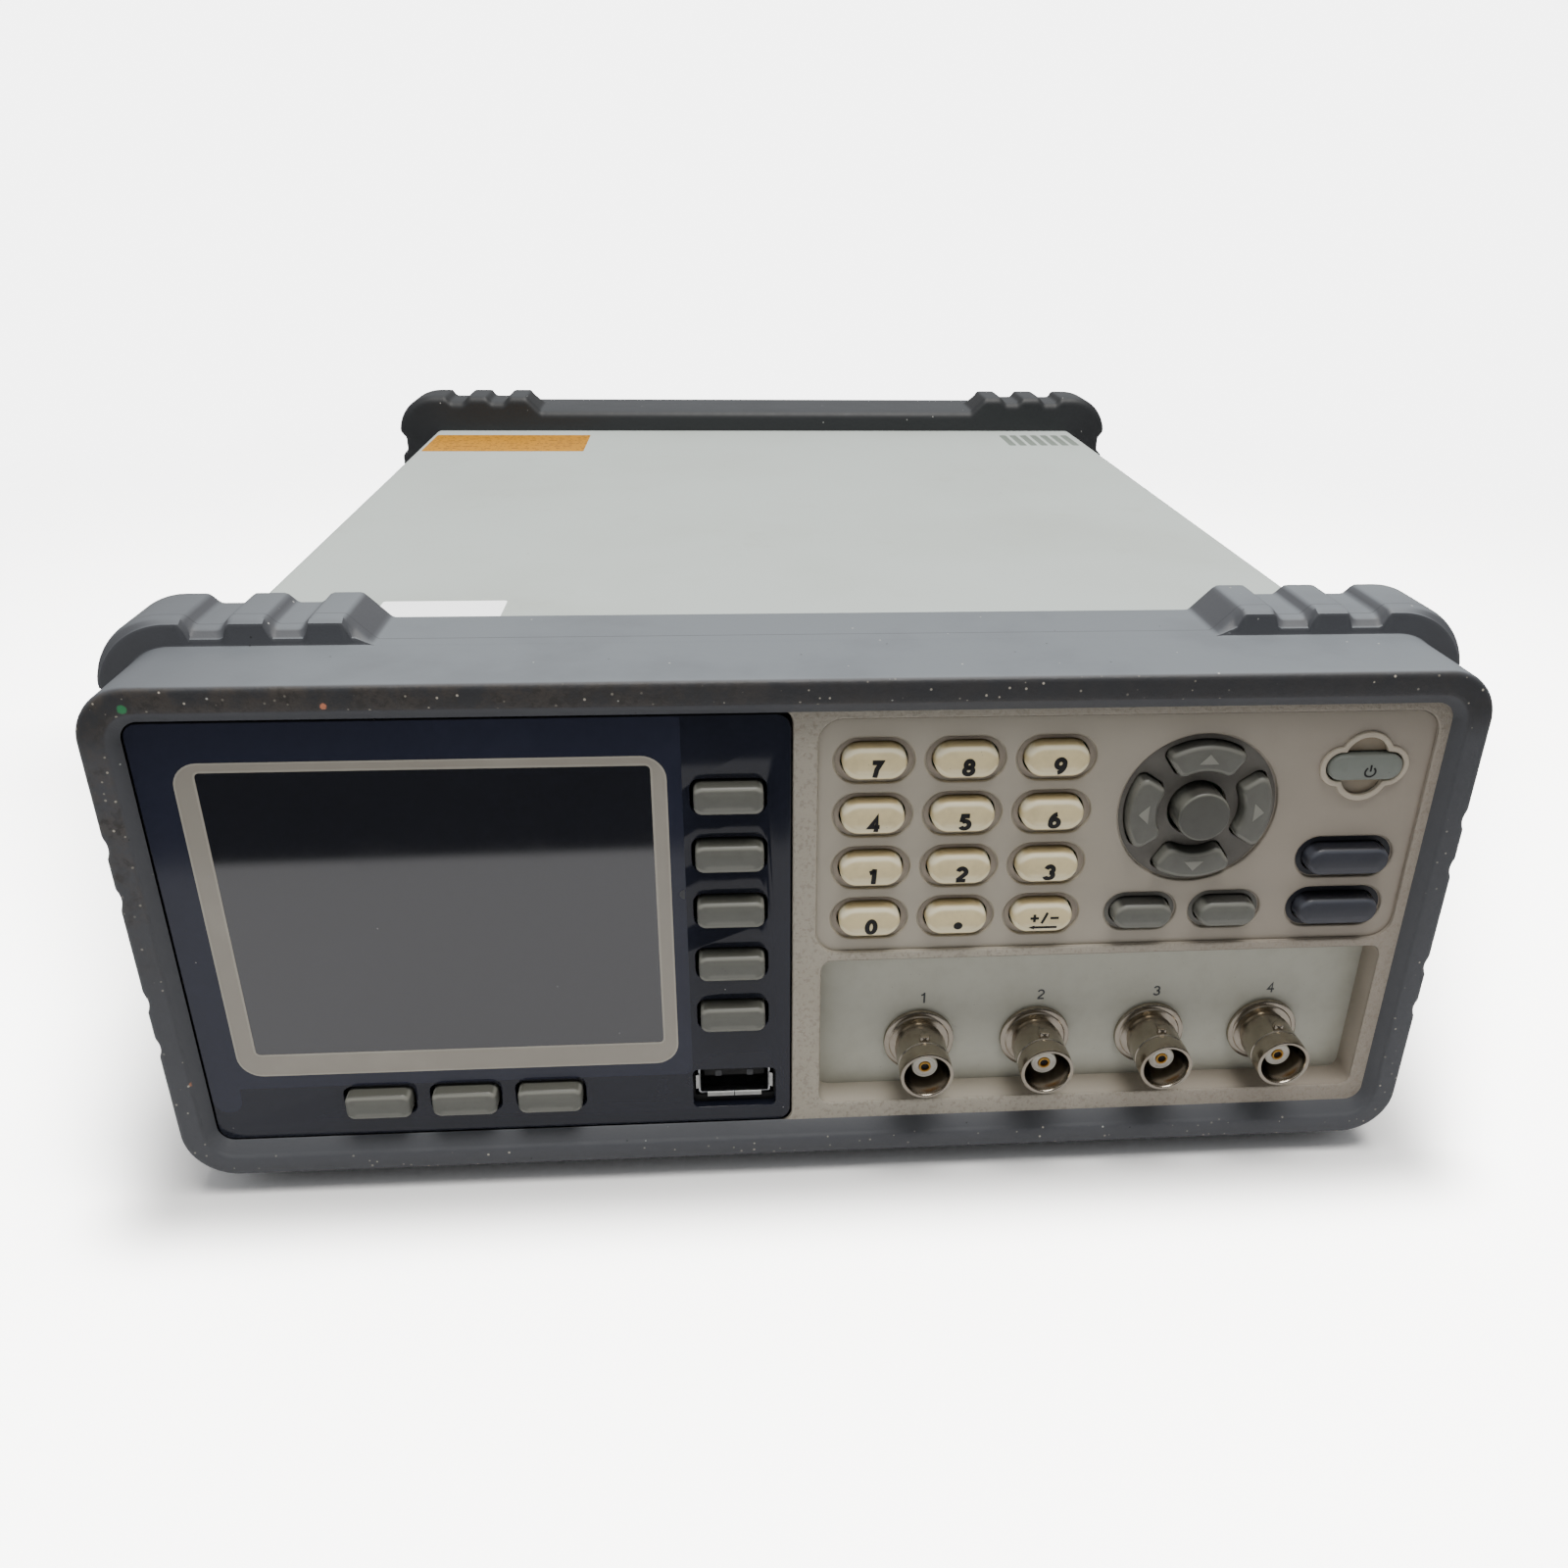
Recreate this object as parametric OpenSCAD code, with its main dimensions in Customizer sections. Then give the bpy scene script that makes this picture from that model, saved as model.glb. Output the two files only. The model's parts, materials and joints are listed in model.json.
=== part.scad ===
// Bench component tester with four coaxial test sockets, a colour display,
// a keypad and a rubber bumper at each end.
// The parts are drawn in the front view's own frame: x to the right, y from the
// front lip's plane to the back, z up from the middle of the front panel.
// placed() then stands the tester on its feet, centred over the origin.

/* [Bumpers] */
// Lip beside the front window, on each side
lip_side = 5.8; // [5.4:0.1:10]
// Lip above and below the front window
lip_edge = 6.4; // [6:0.1:10]
// Corner radius of the lips
lip_r = 11; // [8:0.5:14]
// Depth of the front bumper
front_bumper_len = 35.5; // [32:0.5:45]
// Depth of the rear bumper
rear_bumper_len = 26.5; // [24:0.5:40]
// Depth of the plain lip in front of the corner blocks
lip_len = 19; // [16:0.5:24]
// Depth of the plain lip behind the rear corner blocks
rear_lip_len = 9; // [6:0.5:12]
// Flat rim on the lip's front face, before the bevel
rim_w = 3.8; // [2.5:0.1:4.5]
// Corner radius of the front window
window_r = 3; // [2.5:0.5:6]
// How far the rear lip reaches over the rear panel
rear_lap = 4; // [2.5:0.25:5]
// Gap between a bumper and what it grips
bumper_gap = 0.2; // [0.1:0.05:0.4]

/* [Corner blocks] */
// Height of the ribs above the lip
rib_rise = 4.5; // [3:0.25:6]
// Height of the groove floors above the lip
groove_rise = 2.8; // [1:0.2:2.8]
// Flat width of one rib
rib_w = 5.4; // [4:0.2:6]
// Distance from one rib to the next
rib_pitch = 13; // [12:0.25:14]
// Corner radius over the ribs
block_r = 12; // [9:0.5:13]
// Chamfer on the outer edges of the ribs
rib_chamfer = 1.3; // [0.6:0.1:2]
// Depth of the grip scoops in the lip's sides
scoop_depth = 1.3; // [0.8:0.1:1.8]
// Radius of a grip scoop
scoop_r = 3; // [2:0.25:4]
// Height of the upper scoop above the middle, in each pair
scoop_z = 17.5; // [15:0.5:20]
// Distance between the two scoops of a pair
scoop_pitch = 9; // [8:0.5:12]

/* [Case] */
// How far the case lies inside the front window, at each side
case_in = 1.2; // [1:0.1:2]
// How far the case reaches past the front window, above and below
case_over = 0.2; // [0.1:0.1:0.4]
// Distance between the front lip's plane and the rear panel's back
case_len = 272.5; // [250:0.5:320]
// Thickness of the cover and chassis sheet
sheet = 1.2; // [0.8:0.1:1.5]
// Outer bend radius of the case edges
case_r = 2.5; // [2:0.25:4]
// Thickness of the rear panel
rear_sheet = 1.5; // [1:0.1:2]
// Distance from the lip's plane to the case's front wall
front_wall_y = 16; // [15.5:0.25:18]
// Sliding gap between sheet parts
sheet_gap = 0.2; // [0.1:0.05:0.4]
// Height of the chassis side flanges
flange_h = 16; // [12:0.5:22]
// Number of vent slots in each vent row
vent_count = 10; // [4:1:12]
// Distance between vent slots
vent_pitch = 6; // [5:0.5:7]
// Width of a vent slot
vent_w = 2.4; // [1.6:0.2:3]
// Length of a vent slot
vent_len = 24; // [12:1:30]

/* [Front panel] */
// Distance from the lip's plane back to the panel's face
panel_y = 2.5; // [2:0.1:3.5]
// Thickness of the panel moulding
panel_t = 3; // [2.6:0.1:4]
// How far the panel reaches under the lip
panel_lap = 1.4; // [1:0.1:2]
// Depth of the smooth keypad field
field_depth = 0.8; // [0.4:0.1:1]
// Panel strip between the display window and the keypad field
lens_strip = 4.5; // [3.5:0.1:6]
// Panel strip beside the keypad field
field_side = 1.8; // [1.4:0.1:3]
// Panel strip above the keypad field
field_top = 1.45; // [1:0.05:3]
// Corner radius of the keypad field
field_r = 4; // [2:0.5:6]
// Depth of the dish round a key, below the field
dish_depth = 0.6; // [0.3:0.1:0.8]
// How much narrower the socket recess is than the field, at each side
bay_in = 1; // [0.5:0.1:3]
// Panel strip between the keypad field and the socket recess
bay_strip = 1.85; // [1.5:0.05:3]
// Panel strip below the socket recess
bay_foot = 3.6; // [3:0.1:5]
// Depth of the socket recess behind the panel's face
jack_bay_depth = 5.8; // [5:0.1:7]
// Wall of the socket recess
bay_wall = 1.6; // [1.2:0.1:1.8]

/* [Display] */
// Thickness of the display window
lens_t = 1.8; // [1.2:0.1:2]
// Gap round the display window
lens_gap = 0.3; // [0.15:0.05:0.5]
// Window margin left of the picture
picture_side = 9.4; // [8:0.1:12]
// Window margin above the picture
picture_top = 8.75; // [7.5:0.05:12]
// Width of the visible picture
picture_w = 71.1; // [68:0.1:72]
// Height of the visible picture
picture_h = 54; // [50:0.1:55]
// How much wider the display module is than its picture
module_over_w = 5.8; // [5:0.1:6.2]
// How much higher the display module is than its picture
module_over_h = 9.9; // [7:0.1:10]

/* [Keys] */
// Travel of a key
key_travel = 1.2; // [0.8:0.1:1.4]
// Gap between a key and its hole
key_gap = 0.35; // [0.25:0.05:0.5]
// Gap behind the panel in front of a key's collar
collar_gap = 0.3; // [0.2:0.05:0.4]
// Thickness of a key's collar
collar_t = 0.8; // [0.6:0.1:1]
// How far a collar reaches past the key
collar_lap = 0.9; // [0.7:0.05:1]
// Width of a number key
number_w = 11.2; // [10:0.1:11.6]
// Height of a number key
number_h = 6.5; // [6:0.1:6.8]
// Distance between the number columns
column_pitch = 15.15; // [15:0.05:15.3]
// Distance between the number rows
row_pitch = 9.9; // [9.8:0.05:10]
// Distance from the field's left edge to the first number column
key_side = 9.2; // [8.5:0.1:12]
// Distance from the field's lower edge to the lowest key row
key_foot = 6.4; // [5.5:0.05:9]
// Distance from the highest key row to the field's upper edge
key_head = 7.5; // [6.5:0.05:9]
// How far a number key stands out of the field
number_proud = 2; // [1:0.1:2.4]
// Width of the two keys under the arrows
grey_w = 10.9; // [10:0.1:11.2]
// Height of the two keys under the arrows
grey_h = 5.5; // [5:0.1:6]
// How far the two keys under the arrows and the dark keys stand out of the field
grey_proud = 2.6; // [1:0.1:3]
// How far the centre key stands out of the field
enter_proud = 3.6; // [1.8:0.1:4]
// How far the arrow keys stand out of the field
arrow_proud = 1.9; // [1:0.1:2.4]
// How far the power key stands out of the field
power_proud = 1.4; // [0.6:0.1:1.8]
// Width of the two dark keys
dark_w = 15; // [14:0.1:15.6]
// Height of the two dark keys
dark_h = 5.7; // [5.2:0.1:6]
// Distance from the last number column to the first key under the arrows
pad_room = 17.7; // [16.5:0.1:22]
// Distance from the second key under the arrows to the dark keys
dark_room = 20.05; // [18.5:0.05:24]
// Distance from the dark keys' middle to the field's right edge
dark_side = 11.2; // [10:0.1:14]
// Radius of the arrow cluster's recess
pad_r = 14; // [13.6:0.1:14.2]
// Radius of the centre key
centre_r = 4.8; // [4.4:0.1:4.9]
// Inner radius of an arrow key
arrow_in = 7.5; // [7.4:0.1:8]
// Outer radius of an arrow key
arrow_out = 12.4; // [12:0.1:12.4]
// Half of the angle that an arrow key spans
arrow_half = 34; // [30:1:34]
// Width of the power key
power_w = 13.4; // [12:0.1:13.6]
// Height of the power key
power_h = 5.2; // [5:0.1:5.6]
// How far the power key lies below the highest key row
power_drop = 2.5; // [2:0.1:3]
// Width of a display key
soft_w = 11.4; // [10:0.1:11.6]
// Height of a display key
soft_h = 5; // [4.8:0.1:5.5]
// Clearance round a display key
soft_gap = 0.6; // [0.4:0.05:0.7]
// Corner radius of a display key
soft_r = 1; // [0.6:0.1:1.4]
// How far a display key stands out of the window
soft_proud = 2.7; // [1.4:0.1:3]
// Part of the picture's height that the keys beside it leave free
soft_inset = 11.3; // [9:0.1:14]
// Distance from the picture to the middle of the keys beside it
soft_in = 12.5; // [11.5:0.1:14]
// Distance from the middle of those keys to the window's right edge
soft_side = 10.2; // [9:0.1:12]
// Distance between the keys under the picture
menu_pitch = 15.2; // [14.8:0.1:15.6]
// Distance from the picture down to the middle of the keys under it
menu_in = 10.75; // [10:0.05:13]
// Distance from the middle of those keys to the window's lower edge
menu_foot = 7.7; // [7.3:0.1:10]

/* [Test sockets] */
// Distance between the test sockets
jack_pitch = 22; // [21:0.1:23]
// How far the row of sockets lies right of the recess's middle
jack_shift = 1.1; // [0:0.1:2]
// Height of the sockets above the recess's lower edge
jack_foot = 9.6; // [9:0.1:12]
// Diameter of a socket's front collar
jack_d = 9.65; // [9.5:0.05:9.8]
// Bore of a socket's mouth
jack_bore = 8.1; // [7.8:0.1:8.3]
// Length of a socket in front of its shoulder
jack_len = 10.6; // [10:0.1:12]
// Diameter of a socket's shoulder
shoulder_d = 13.2; // [12:0.1:14]
// Thickness of a socket's shoulder
shoulder_t = 1.2; // [1:0.1:1.6]
// Diameter of a socket's threaded shank
shank_d = 9.4; // [9:0.1:9.5]
// Width over the flats of a socket's nut
nut_af = 14; // [12:0.5:16]

/* [Rear fittings] */
// Width of the mains inlet's opening
inlet_w = 24.4; // [24:0.1:25]
// Height of the mains inlet's opening
inlet_h = 16.4; // [16:0.1:17]
// Depth of the mains inlet's opening
inlet_depth = 17; // [16:0.5:18]
// Distance from the case's side to the middle of the mains inlet
inlet_side = 29.5; // [26:0.5:34]
// Travel of the fuse drawer
drawer_travel = 10; // [6:0.5:12]
// Width of the fuse drawer
drawer_w = 22; // [20:0.5:22]
// Height of the fuse drawer
drawer_h = 7; // [6:0.25:7]
// Length of the fuse drawer
drawer_len = 24; // [20:0.5:24]
// Diameter of the earth stud
stud_d = 4; // [3.5:0.1:5]
// Length of the earth stud behind its nut
stud_len = 7; // [6:0.5:8]

/* [Boards] */
// Thickness of the circuit boards
board_t = 1.6; // [1:0.1:2]
// Height of the board standoffs
standoff_h = 8; // [6:0.5:10]
// Outer diameter of a standoff
standoff_d = 6; // [5:0.5:7]
// Diameter of the machine screws
screw_d = 3; // [2.5:0.1:3.5]
// Diameter of the machine screw heads
screw_head_d = 5; // [4.6:0.1:5.2]
// Height of the machine screw heads
screw_head_h = 2; // [1.6:0.1:2.2]
// Length of the machine screws
screw_len = 6; // [5:0.5:7]

/* [Hidden] */
$fn = 48;
eps = 0.01;
hull_fn = 32;

// Layout of the front, from the keys and the picture outwards
field_w = key_side + 3 * column_pitch + pad_room + dark_room + dark_side;
field_h = key_foot + 3 * row_pitch + key_head;
lens_w = picture_side + picture_w + soft_in + soft_side;
window_w = lens_gap + lens_w + lens_strip + field_w + field_side;
window_h = picture_top + picture_h + menu_in + menu_foot;
jack_bay_w = field_w - 2 * bay_in;
jack_bay_h = window_h - field_top - field_h - bay_strip - bay_foot;
lens_left = -window_w / 2 + lens_gap;
lens_right = lens_left + lens_w;
lens_x = (lens_left + lens_right) / 2;
lens_h = window_h - 2 * lens_gap;
lens_corner = window_r - 2 * lens_gap;
picture_x = lens_left + picture_side + picture_w / 2;
picture_z = window_h / 2 - picture_top - picture_h / 2;
module_w = picture_w + module_over_w;
module_h = picture_h + module_over_h;
soft_x = lens_right - soft_side;
soft_pitch = (picture_h - soft_inset) / 4;
menu_shift = 0.45;
menu_x = picture_x - menu_shift;
menu_z = -window_h / 2 + menu_foot;
field_x = window_w / 2 - field_side - field_w / 2;
field_z = window_h / 2 - field_top - field_h / 2;
jack_bay_x = field_x;
jack_bay_z = -window_h / 2 + bay_foot + jack_bay_h / 2;
column_x = field_x - field_w / 2 + key_side;
row_z = field_z - field_h / 2 + key_foot;
top_row_z = row_z + 3 * row_pitch;
dark_x = field_x + field_w / 2 - dark_side;
pad_x = dark_x - dark_room - column_pitch / 2;
jack_mid_x = jack_bay_x + jack_shift;
jack_z = -window_h / 2 + bay_foot + jack_foot;

// Overall frame
lip_w = window_w + 2 * lip_side;
lip_h = window_h + 2 * lip_edge;
case_w = window_w - 2 * case_in;
case_h = window_h + 2 * case_over;
rear_window_w = case_w - 2 * rear_lap;
rear_window_h = case_h - 2 * rear_lap;
rear_lip_proud = 12.5;
rear_end = case_len + rear_lip_proud;
rear_bumper_y = rear_end - rear_bumper_len;

// Panel planes, front to back
field_y = panel_y + field_depth;
dish_y = field_y + dish_depth;
panel_back = panel_y + panel_t;
panel_w = window_w + 2 * panel_lap;
panel_h = window_h + 2 * panel_lap;
panel_r = window_r + panel_lap;
bay_y = panel_y + jack_bay_depth;
collar_y = panel_back + collar_gap;
key_end = collar_y + collar_t + 1;
switch_t = 0.4;
board_y = key_end + key_travel + 0.3 + switch_t;
board_back = board_y + board_t;

// Case planes, up from the panel's middle
case_top = case_h / 2;
case_floor = -case_h / 2;
floor_top = case_floor + sheet;
board_z = floor_top + standoff_h;
board_top = board_z + board_t;
seat_y = panel_back + 1;
cover_y = bay_y + bay_wall + 2 * sheet_gap;
cover_end = case_len;
rear_panel_y = case_len - rear_sheet;

// Display window
lens_back = panel_y + lens_t;
module_gap = 0.1;
module_x = picture_x + 1.5;
module_z = picture_z - 1.4;
module_y = panel_back + module_gap;
module_t = board_y - module_y - module_gap;

// Keys
soft_keys = [for (i = [0:4]) [soft_x, picture_z + (2 - i) * soft_pitch]];
menu_keys = [for (i = [0:2]) [menu_x + (i - 1) * menu_pitch, menu_z]];
number_names = ["7", "8", "9", "4", "5", "6", "1", "2", "3", "0", "point", "sign"];
function number_at(i) = [column_x + (i % 3) * column_pitch, row_z + (3 - floor(i / 3)) * row_pitch];
pad_z = row_z + 2 * row_pitch - 0.1;
esc_at = [pad_x - column_pitch / 2, row_z];
trigger_at = [pad_x + column_pitch / 2, row_z];
measure_at = [dark_x, row_z + row_pitch];
setup_at = [dark_x, row_z];
power_at = [dark_x, top_row_z - power_drop];
dish_lap = 0.9;
grey_dish_lap = 1.2;
post_d = 3;
arrow_mid = (arrow_in + arrow_out) / 2;
arrow_angles = [90, 270, 180, 0];
arrow_lap = collar_lap - 0.2;
clover_w = 15.9;
clover_h = 7.4;
clover_d = 13;
clover_rim = 1.1;
rim_rise = 0.5;

// Front socket for memory sticks
usb_foot = 8.3;
usb_at = [soft_x, -window_h / 2 + usb_foot];
usb_w = 13.2;
usb_h = 5.7;
usb_wall = 0.35;
usb_len = 14;
usb_flare = 0.45;
usb_flare_t = 0.5;
usb_y = lens_back - usb_flare_t - 0.1;
usb_bay_w = 15.1;
usb_bay_h = 8.4;
usb_bay_z = usb_at[1] - 0.55;
usb_bay_r = 1;
tongue_h = 1.9;
tongue_w = 11;

// Test sockets
jack_xs = [for (i = [0:3]) jack_mid_x + (i - 1.5) * jack_pitch];
jack_front = bay_y - shoulder_t - jack_len;
collar_len = 3.4;
lug_y = jack_front + 5;
lug_d = 2;
lug_rise = 0.9;
shank_end = bay_y + bay_wall + 8;
insulator_d = 4.7;
contact_d = 2.2;
contact_bore = 1.4;
contact_front = jack_front + 2.8;
insulator_front = jack_front + 3;
contact_end = shank_end + 3;
nut_t = 2.4;
nut_y = bay_y + bay_wall;

// Board and screw places
board_inset = 7.5;
board_side = case_w / 2 - board_inset;
board_front_y = 28;
board_back_gap = 22.5;
board_rear_y = case_len - board_back_gap;
main_front_len = 88;
board_split_y = board_front_y + main_front_len;
board_gap = 8;
supply_w = 52;
cap_large_d = 18;
cap_large_h = 30;
cap_mid_d = 16;
cap_mid_h = 25;
cap_small_d = 12.5;
cap_small_h = 20;
supply_x = board_side - supply_w / 2;
board_split_x = supply_x - supply_w / 2 - board_gap;
supply_gap = 6;
supply_y = board_split_y + supply_gap;
hole_in = 6;
main_holes = [for (x = [-1, 1], y = [board_front_y + hole_in, board_split_y - hole_in])
        [x * (board_side - hole_in), y],
    for (x = [-board_side + hole_in, board_split_x - hole_in]) [x, board_rear_y - hole_in]];
supply_hole_x = supply_w / 2 - 5;
supply_holes = [for (x = [-supply_hole_x, supply_hole_x], y = [supply_y + hole_in, board_rear_y - hole_in])
    [supply_x + x, y]];
supply_len = board_rear_y - supply_y;
transformer_y = supply_y + supply_len * 0.375;
// Capacitors on the supply board: their shares of its width and length, then diameter and height
capacitors = [[-0.23, 0.72, cap_large_d, cap_large_h], [0.2, 0.735, cap_mid_d, cap_mid_h],
    [-0.23, 0.14, cap_small_d, cap_small_h]];
core = [34, 30, 26];
core_leg = 5;
winding_over = 3;
can = [112, 58, 14];
can_wall = 0.6;
can_in = 18;
can_at = [board_side - hole_in - can[0], board_front_y + can_in];
boss_d = 5;
boss_x = case_w / 2 - sheet - 2 * sheet_gap - boss_d / 2;
boss_z = case_h / 2 - sheet - 2 * sheet_gap - boss_d / 2 - 0.5;
mid_boss_x = (lens_right + jack_bay_x - jack_bay_w / 2 - bay_wall) / 2 - 1;
low_boss_x = boss_x - sheet - 2 * sheet_gap;
boss_places = [[-boss_x, boss_z], [-low_boss_x, -boss_z], [mid_boss_x, boss_z], [mid_boss_x, -boss_z],
    [boss_x, boss_z], [boss_x - 3.5, -boss_z + 2.5]];
function in_bay(p) = p[0] > jack_bay_x && p[1] < jack_bay_z;
board_boss_z = window_h / 2 - 4.6;
low_boss_in = 30.5;
power_boss_in = 11.7;
board_boss_places = [[-boss_x, 0], [soft_x - 2.5, board_boss_z],
    [soft_x - 2.5, (picture_z - 2 * soft_pitch + usb_at[1]) / 2], [picture_x - low_boss_in, -boss_z],
    [column_x + 2.6 * column_pitch, board_boss_z], [dark_x - power_boss_in, board_boss_z]];
pilot_d = 2.5;
head_gap = 0.2;
side_screw_in = 32.5;
side_screw_ys = [60, 150, case_len - side_screw_in];
side_screw_z = case_floor + flange_h / 2;
vent_back = 77.5;
vent_y = case_len - vent_back;
side_vent_z = 6;
floor_vent_xs = [-40, 40];
rear_vent_at = [-40, 20];
// Openings through the case's front wall, as [x, z, width, height]
wall_openings = [[jack_mid_x, jack_bay_z, jack_bay_w - 8, 24], [field_x, field_z, 70, 20],
    [picture_x, picture_z, 60, 40]];

// Rear fittings, across and up from the panel's middle
inlet_x = case_w / 2 - inlet_side;
inlet_z = -2;
drawer_z = inlet_z - inlet_h / 2 - 2.6 - drawer_h / 2;
inlet_flange_w = 29;
inlet_flange_h = 36;
inlet_mid_z = (inlet_z + drawer_z) / 2 + 1;
inlet_flange_t = 2.2;
inlet_body_w = 27;
inlet_body_h = 33;
inlet_body_len = 26;
blade = [2, 4];
blade_pitch = 7;
blade_tail = 6;
blade_short = 4;
drawer_gap = 0.3;
drawer_wall = 1.5;
drawer_lip = 1;
drawer_ends = [2, 3];
serial_at = [inlet_side - case_w / 2, -12];
port_pitch = 58;
handler_at = [serial_at[0] + port_pitch, serial_at[1]];
serial_w = 16.9;
handler_w = 38.9;
dsub_h = 8.3;
dsub_flange_h = 12.5;
dsub_flange_over = 13.9;
dsub_screw_over = 4.1;
dsub_proud = 5;
dsub_depth = 9;
stud_in = 34;
stud_at = [inlet_x - stud_in, -24];
stud_nut_t = 3;
stud_nut_af = 7;
port_screw_len = 5;
port_screw_af = 5;
port_thread_d = 2.2;

// ---- Shared shapes ----

// Puts the front view's frame on the ground, over the origin
module placed() {
    translate([0, -(jack_front + rear_end) / 2, lip_h / 2 + rib_rise]) children();
}

// Extrudes an outline drawn as x and z, from depth y0 back to depth y1
module slab(y0, y1) {
    translate([0, y1, 0]) rotate([90, 0, 0]) linear_extrude(y1 - y0) children();
}

// Extrudes an outline drawn as x and y, from height z0 up to height z1
module storey(z0, z1) {
    translate([0, 0, z0]) linear_extrude(z1 - z0) children();
}

module round_rect(w, h, r) {
    square([w - 2 * r, h], center = true);
    square([w, h - 2 * r], center = true);
    for (x = [-1, 1], z = [-1, 1]) translate([x * (w / 2 - r), z * (h / 2 - r)]) circle(r);
}

module pill(w, h) {
    square([w - h, h], center = true);
    for (x = [-1, 1]) translate([x * (w - h) / 2, 0]) circle(d = h);
}

// A round bar along y
module bar(d, y0, y1) {
    translate([0, y0, 0]) rotate([-90, 0, 0]) cylinder(d = d, h = y1 - y0);
}

module hexagon(af) {
    circle(d = af / cos(30), $fn = 6);
}

// A pan-head screw that points down from height 0
module pan_screw() {
    cylinder(d = screw_head_d, h = screw_head_h);
    translate([0, 0, -screw_len]) cylinder(d = screw_d, h = screw_len + eps);
}

// ---- Bumpers ----

rib_ramp = 1.7;
block_w = 41.5;
block_h = 28;
block_end = lip_w / 2 - block_w;
side_end = lip_h / 2 - block_h;
first_rib_in = 8.5;
side_groove_in = 15;
chamfer_angle = 22;

// One quarter of the corner blocks' outline, over the ribs
module block_outline() {
    intersection() {
        round_rect(lip_w + 2 * rib_rise, lip_h + 2 * rib_rise, block_r);
        union() {
            translate([block_end, 0]) square([lip_w, lip_h]);
            translate([0, side_end]) square([lip_w, lip_h]);
        }
        translate([block_end, side_end]) square([lip_w, lip_h]);
    }
}

// A groove between two ribs, open upwards from height 0 with sloping sides
module groove() {
    floor_w = rib_pitch - rib_w - 2 * rib_ramp;
    drop = rib_rise - groove_rise;
    polygon([[-floor_w / 2, -drop], [floor_w / 2, -drop], [floor_w / 2 + rib_ramp, 0],
        [floor_w / 2 + 2 * rib_ramp, drop], [-floor_w / 2 - 2 * rib_ramp, drop],
        [-floor_w / 2 - rib_ramp, 0]]);
}

// The slope that ends a block
module block_slope() {
    polygon([[0, 0], [rib_rise + 1, rib_rise + 1], [-rib_rise, rib_rise + 1], [-rib_rise, 0]]);
}

module corner_block() {
    top = lip_h / 2 + rib_rise;
    side = lip_w / 2 + rib_rise;
    first_rib = lip_w / 2 - first_rib_in;
    difference() {
        block_outline();
        for (i = [0, 1]) translate([first_rib - (i + 0.5) * rib_pitch, top]) groove();
        translate([side, top - side_groove_in]) rotate(-90) groove();
        translate([block_end, lip_h / 2]) block_slope();
        translate([lip_w / 2, side_end]) rotate(-90) mirror([1, 0]) block_slope();
    }
}

module in_corners() {
    for (x = [0, 1], z = [0, 1]) mirror([x, 0, 0]) mirror([0, 0, z]) children();
}

// The four corner blocks of a bumper, with the edge at y0 chamfered
module corner_blocks(y0, y1) {
    top = lip_h / 2 + rib_rise;
    side = lip_w / 2 + rib_rise;
    in_corners() difference() {
        slab(y0, y1) corner_block();
        translate([0, y0, top - rib_chamfer]) rotate([chamfer_angle, 0, 0])
            translate([0, -lip_len, 0]) cube([lip_w, 2 * lip_len, lip_len]);
        translate([side - rib_chamfer, y0, 0]) rotate([0, 0, -chamfer_angle])
            translate([0, -lip_len, 0]) cube([lip_len, 2 * lip_len, lip_w]);
    }
}

// Shallow scoops for the fingers in both sides of the lip
module grip_scoops() {
    for (x = [-1, 1], z = [scoop_z, scoop_z - scoop_pitch, -scoop_z + scoop_pitch, -scoop_z])
        translate([x * (lip_w / 2 + scoop_r - scoop_depth), -eps, z]) bar(2 * scoop_r, 0, lip_len - 2);
}

module case_hollow(y0, y1) {
    slab(y0, y1) round_rect(case_w + 2 * bumper_gap, case_h + 2 * bumper_gap, case_r);
}

module front_bumper() {
    color("dimgray") placed() difference() {
        union() {
            slab(0, front_bumper_len) round_rect(lip_w, lip_h, lip_r);
            corner_blocks(lip_len, front_bumper_len);
        }
        hull() {
            slab(-1, 0) round_rect(lip_w - 2 * rim_w, lip_h - 2 * rim_w, lip_r - rim_w, $fn = hull_fn);
            slab(panel_y - eps, panel_y + eps) round_rect(window_w, window_h, window_r, $fn = hull_fn);
        }
        slab(panel_y, seat_y + sheet_gap)
            round_rect(panel_w + 2 * bumper_gap, panel_h + 2 * bumper_gap, panel_r + bumper_gap);
        case_hollow(panel_y, front_bumper_len + 1);
        grip_scoops();
    }
}

module rear_bumper() {
    color("dimgray") placed() difference() {
        union() {
            slab(rear_bumper_y, rear_end) round_rect(lip_w, lip_h, lip_r);
            translate([0, 2 * rear_end - rear_lip_len, 0]) mirror([0, 1, 0])
                corner_blocks(rear_end, rear_end + rear_bumper_len - rear_lip_len);
        }
        case_hollow(rear_bumper_y - 1, case_len + bumper_gap);
        slab(case_len, rear_end + 1) round_rect(rear_window_w, rear_window_h, window_r);
    }
}

// ---- Case ----

module vent_row() {
    for (i = [0:vent_count - 1]) translate([(i - (vent_count - 1) / 2) * vent_pitch, 0])
        rotate(90) pill(vent_len, vent_w);
}

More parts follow.
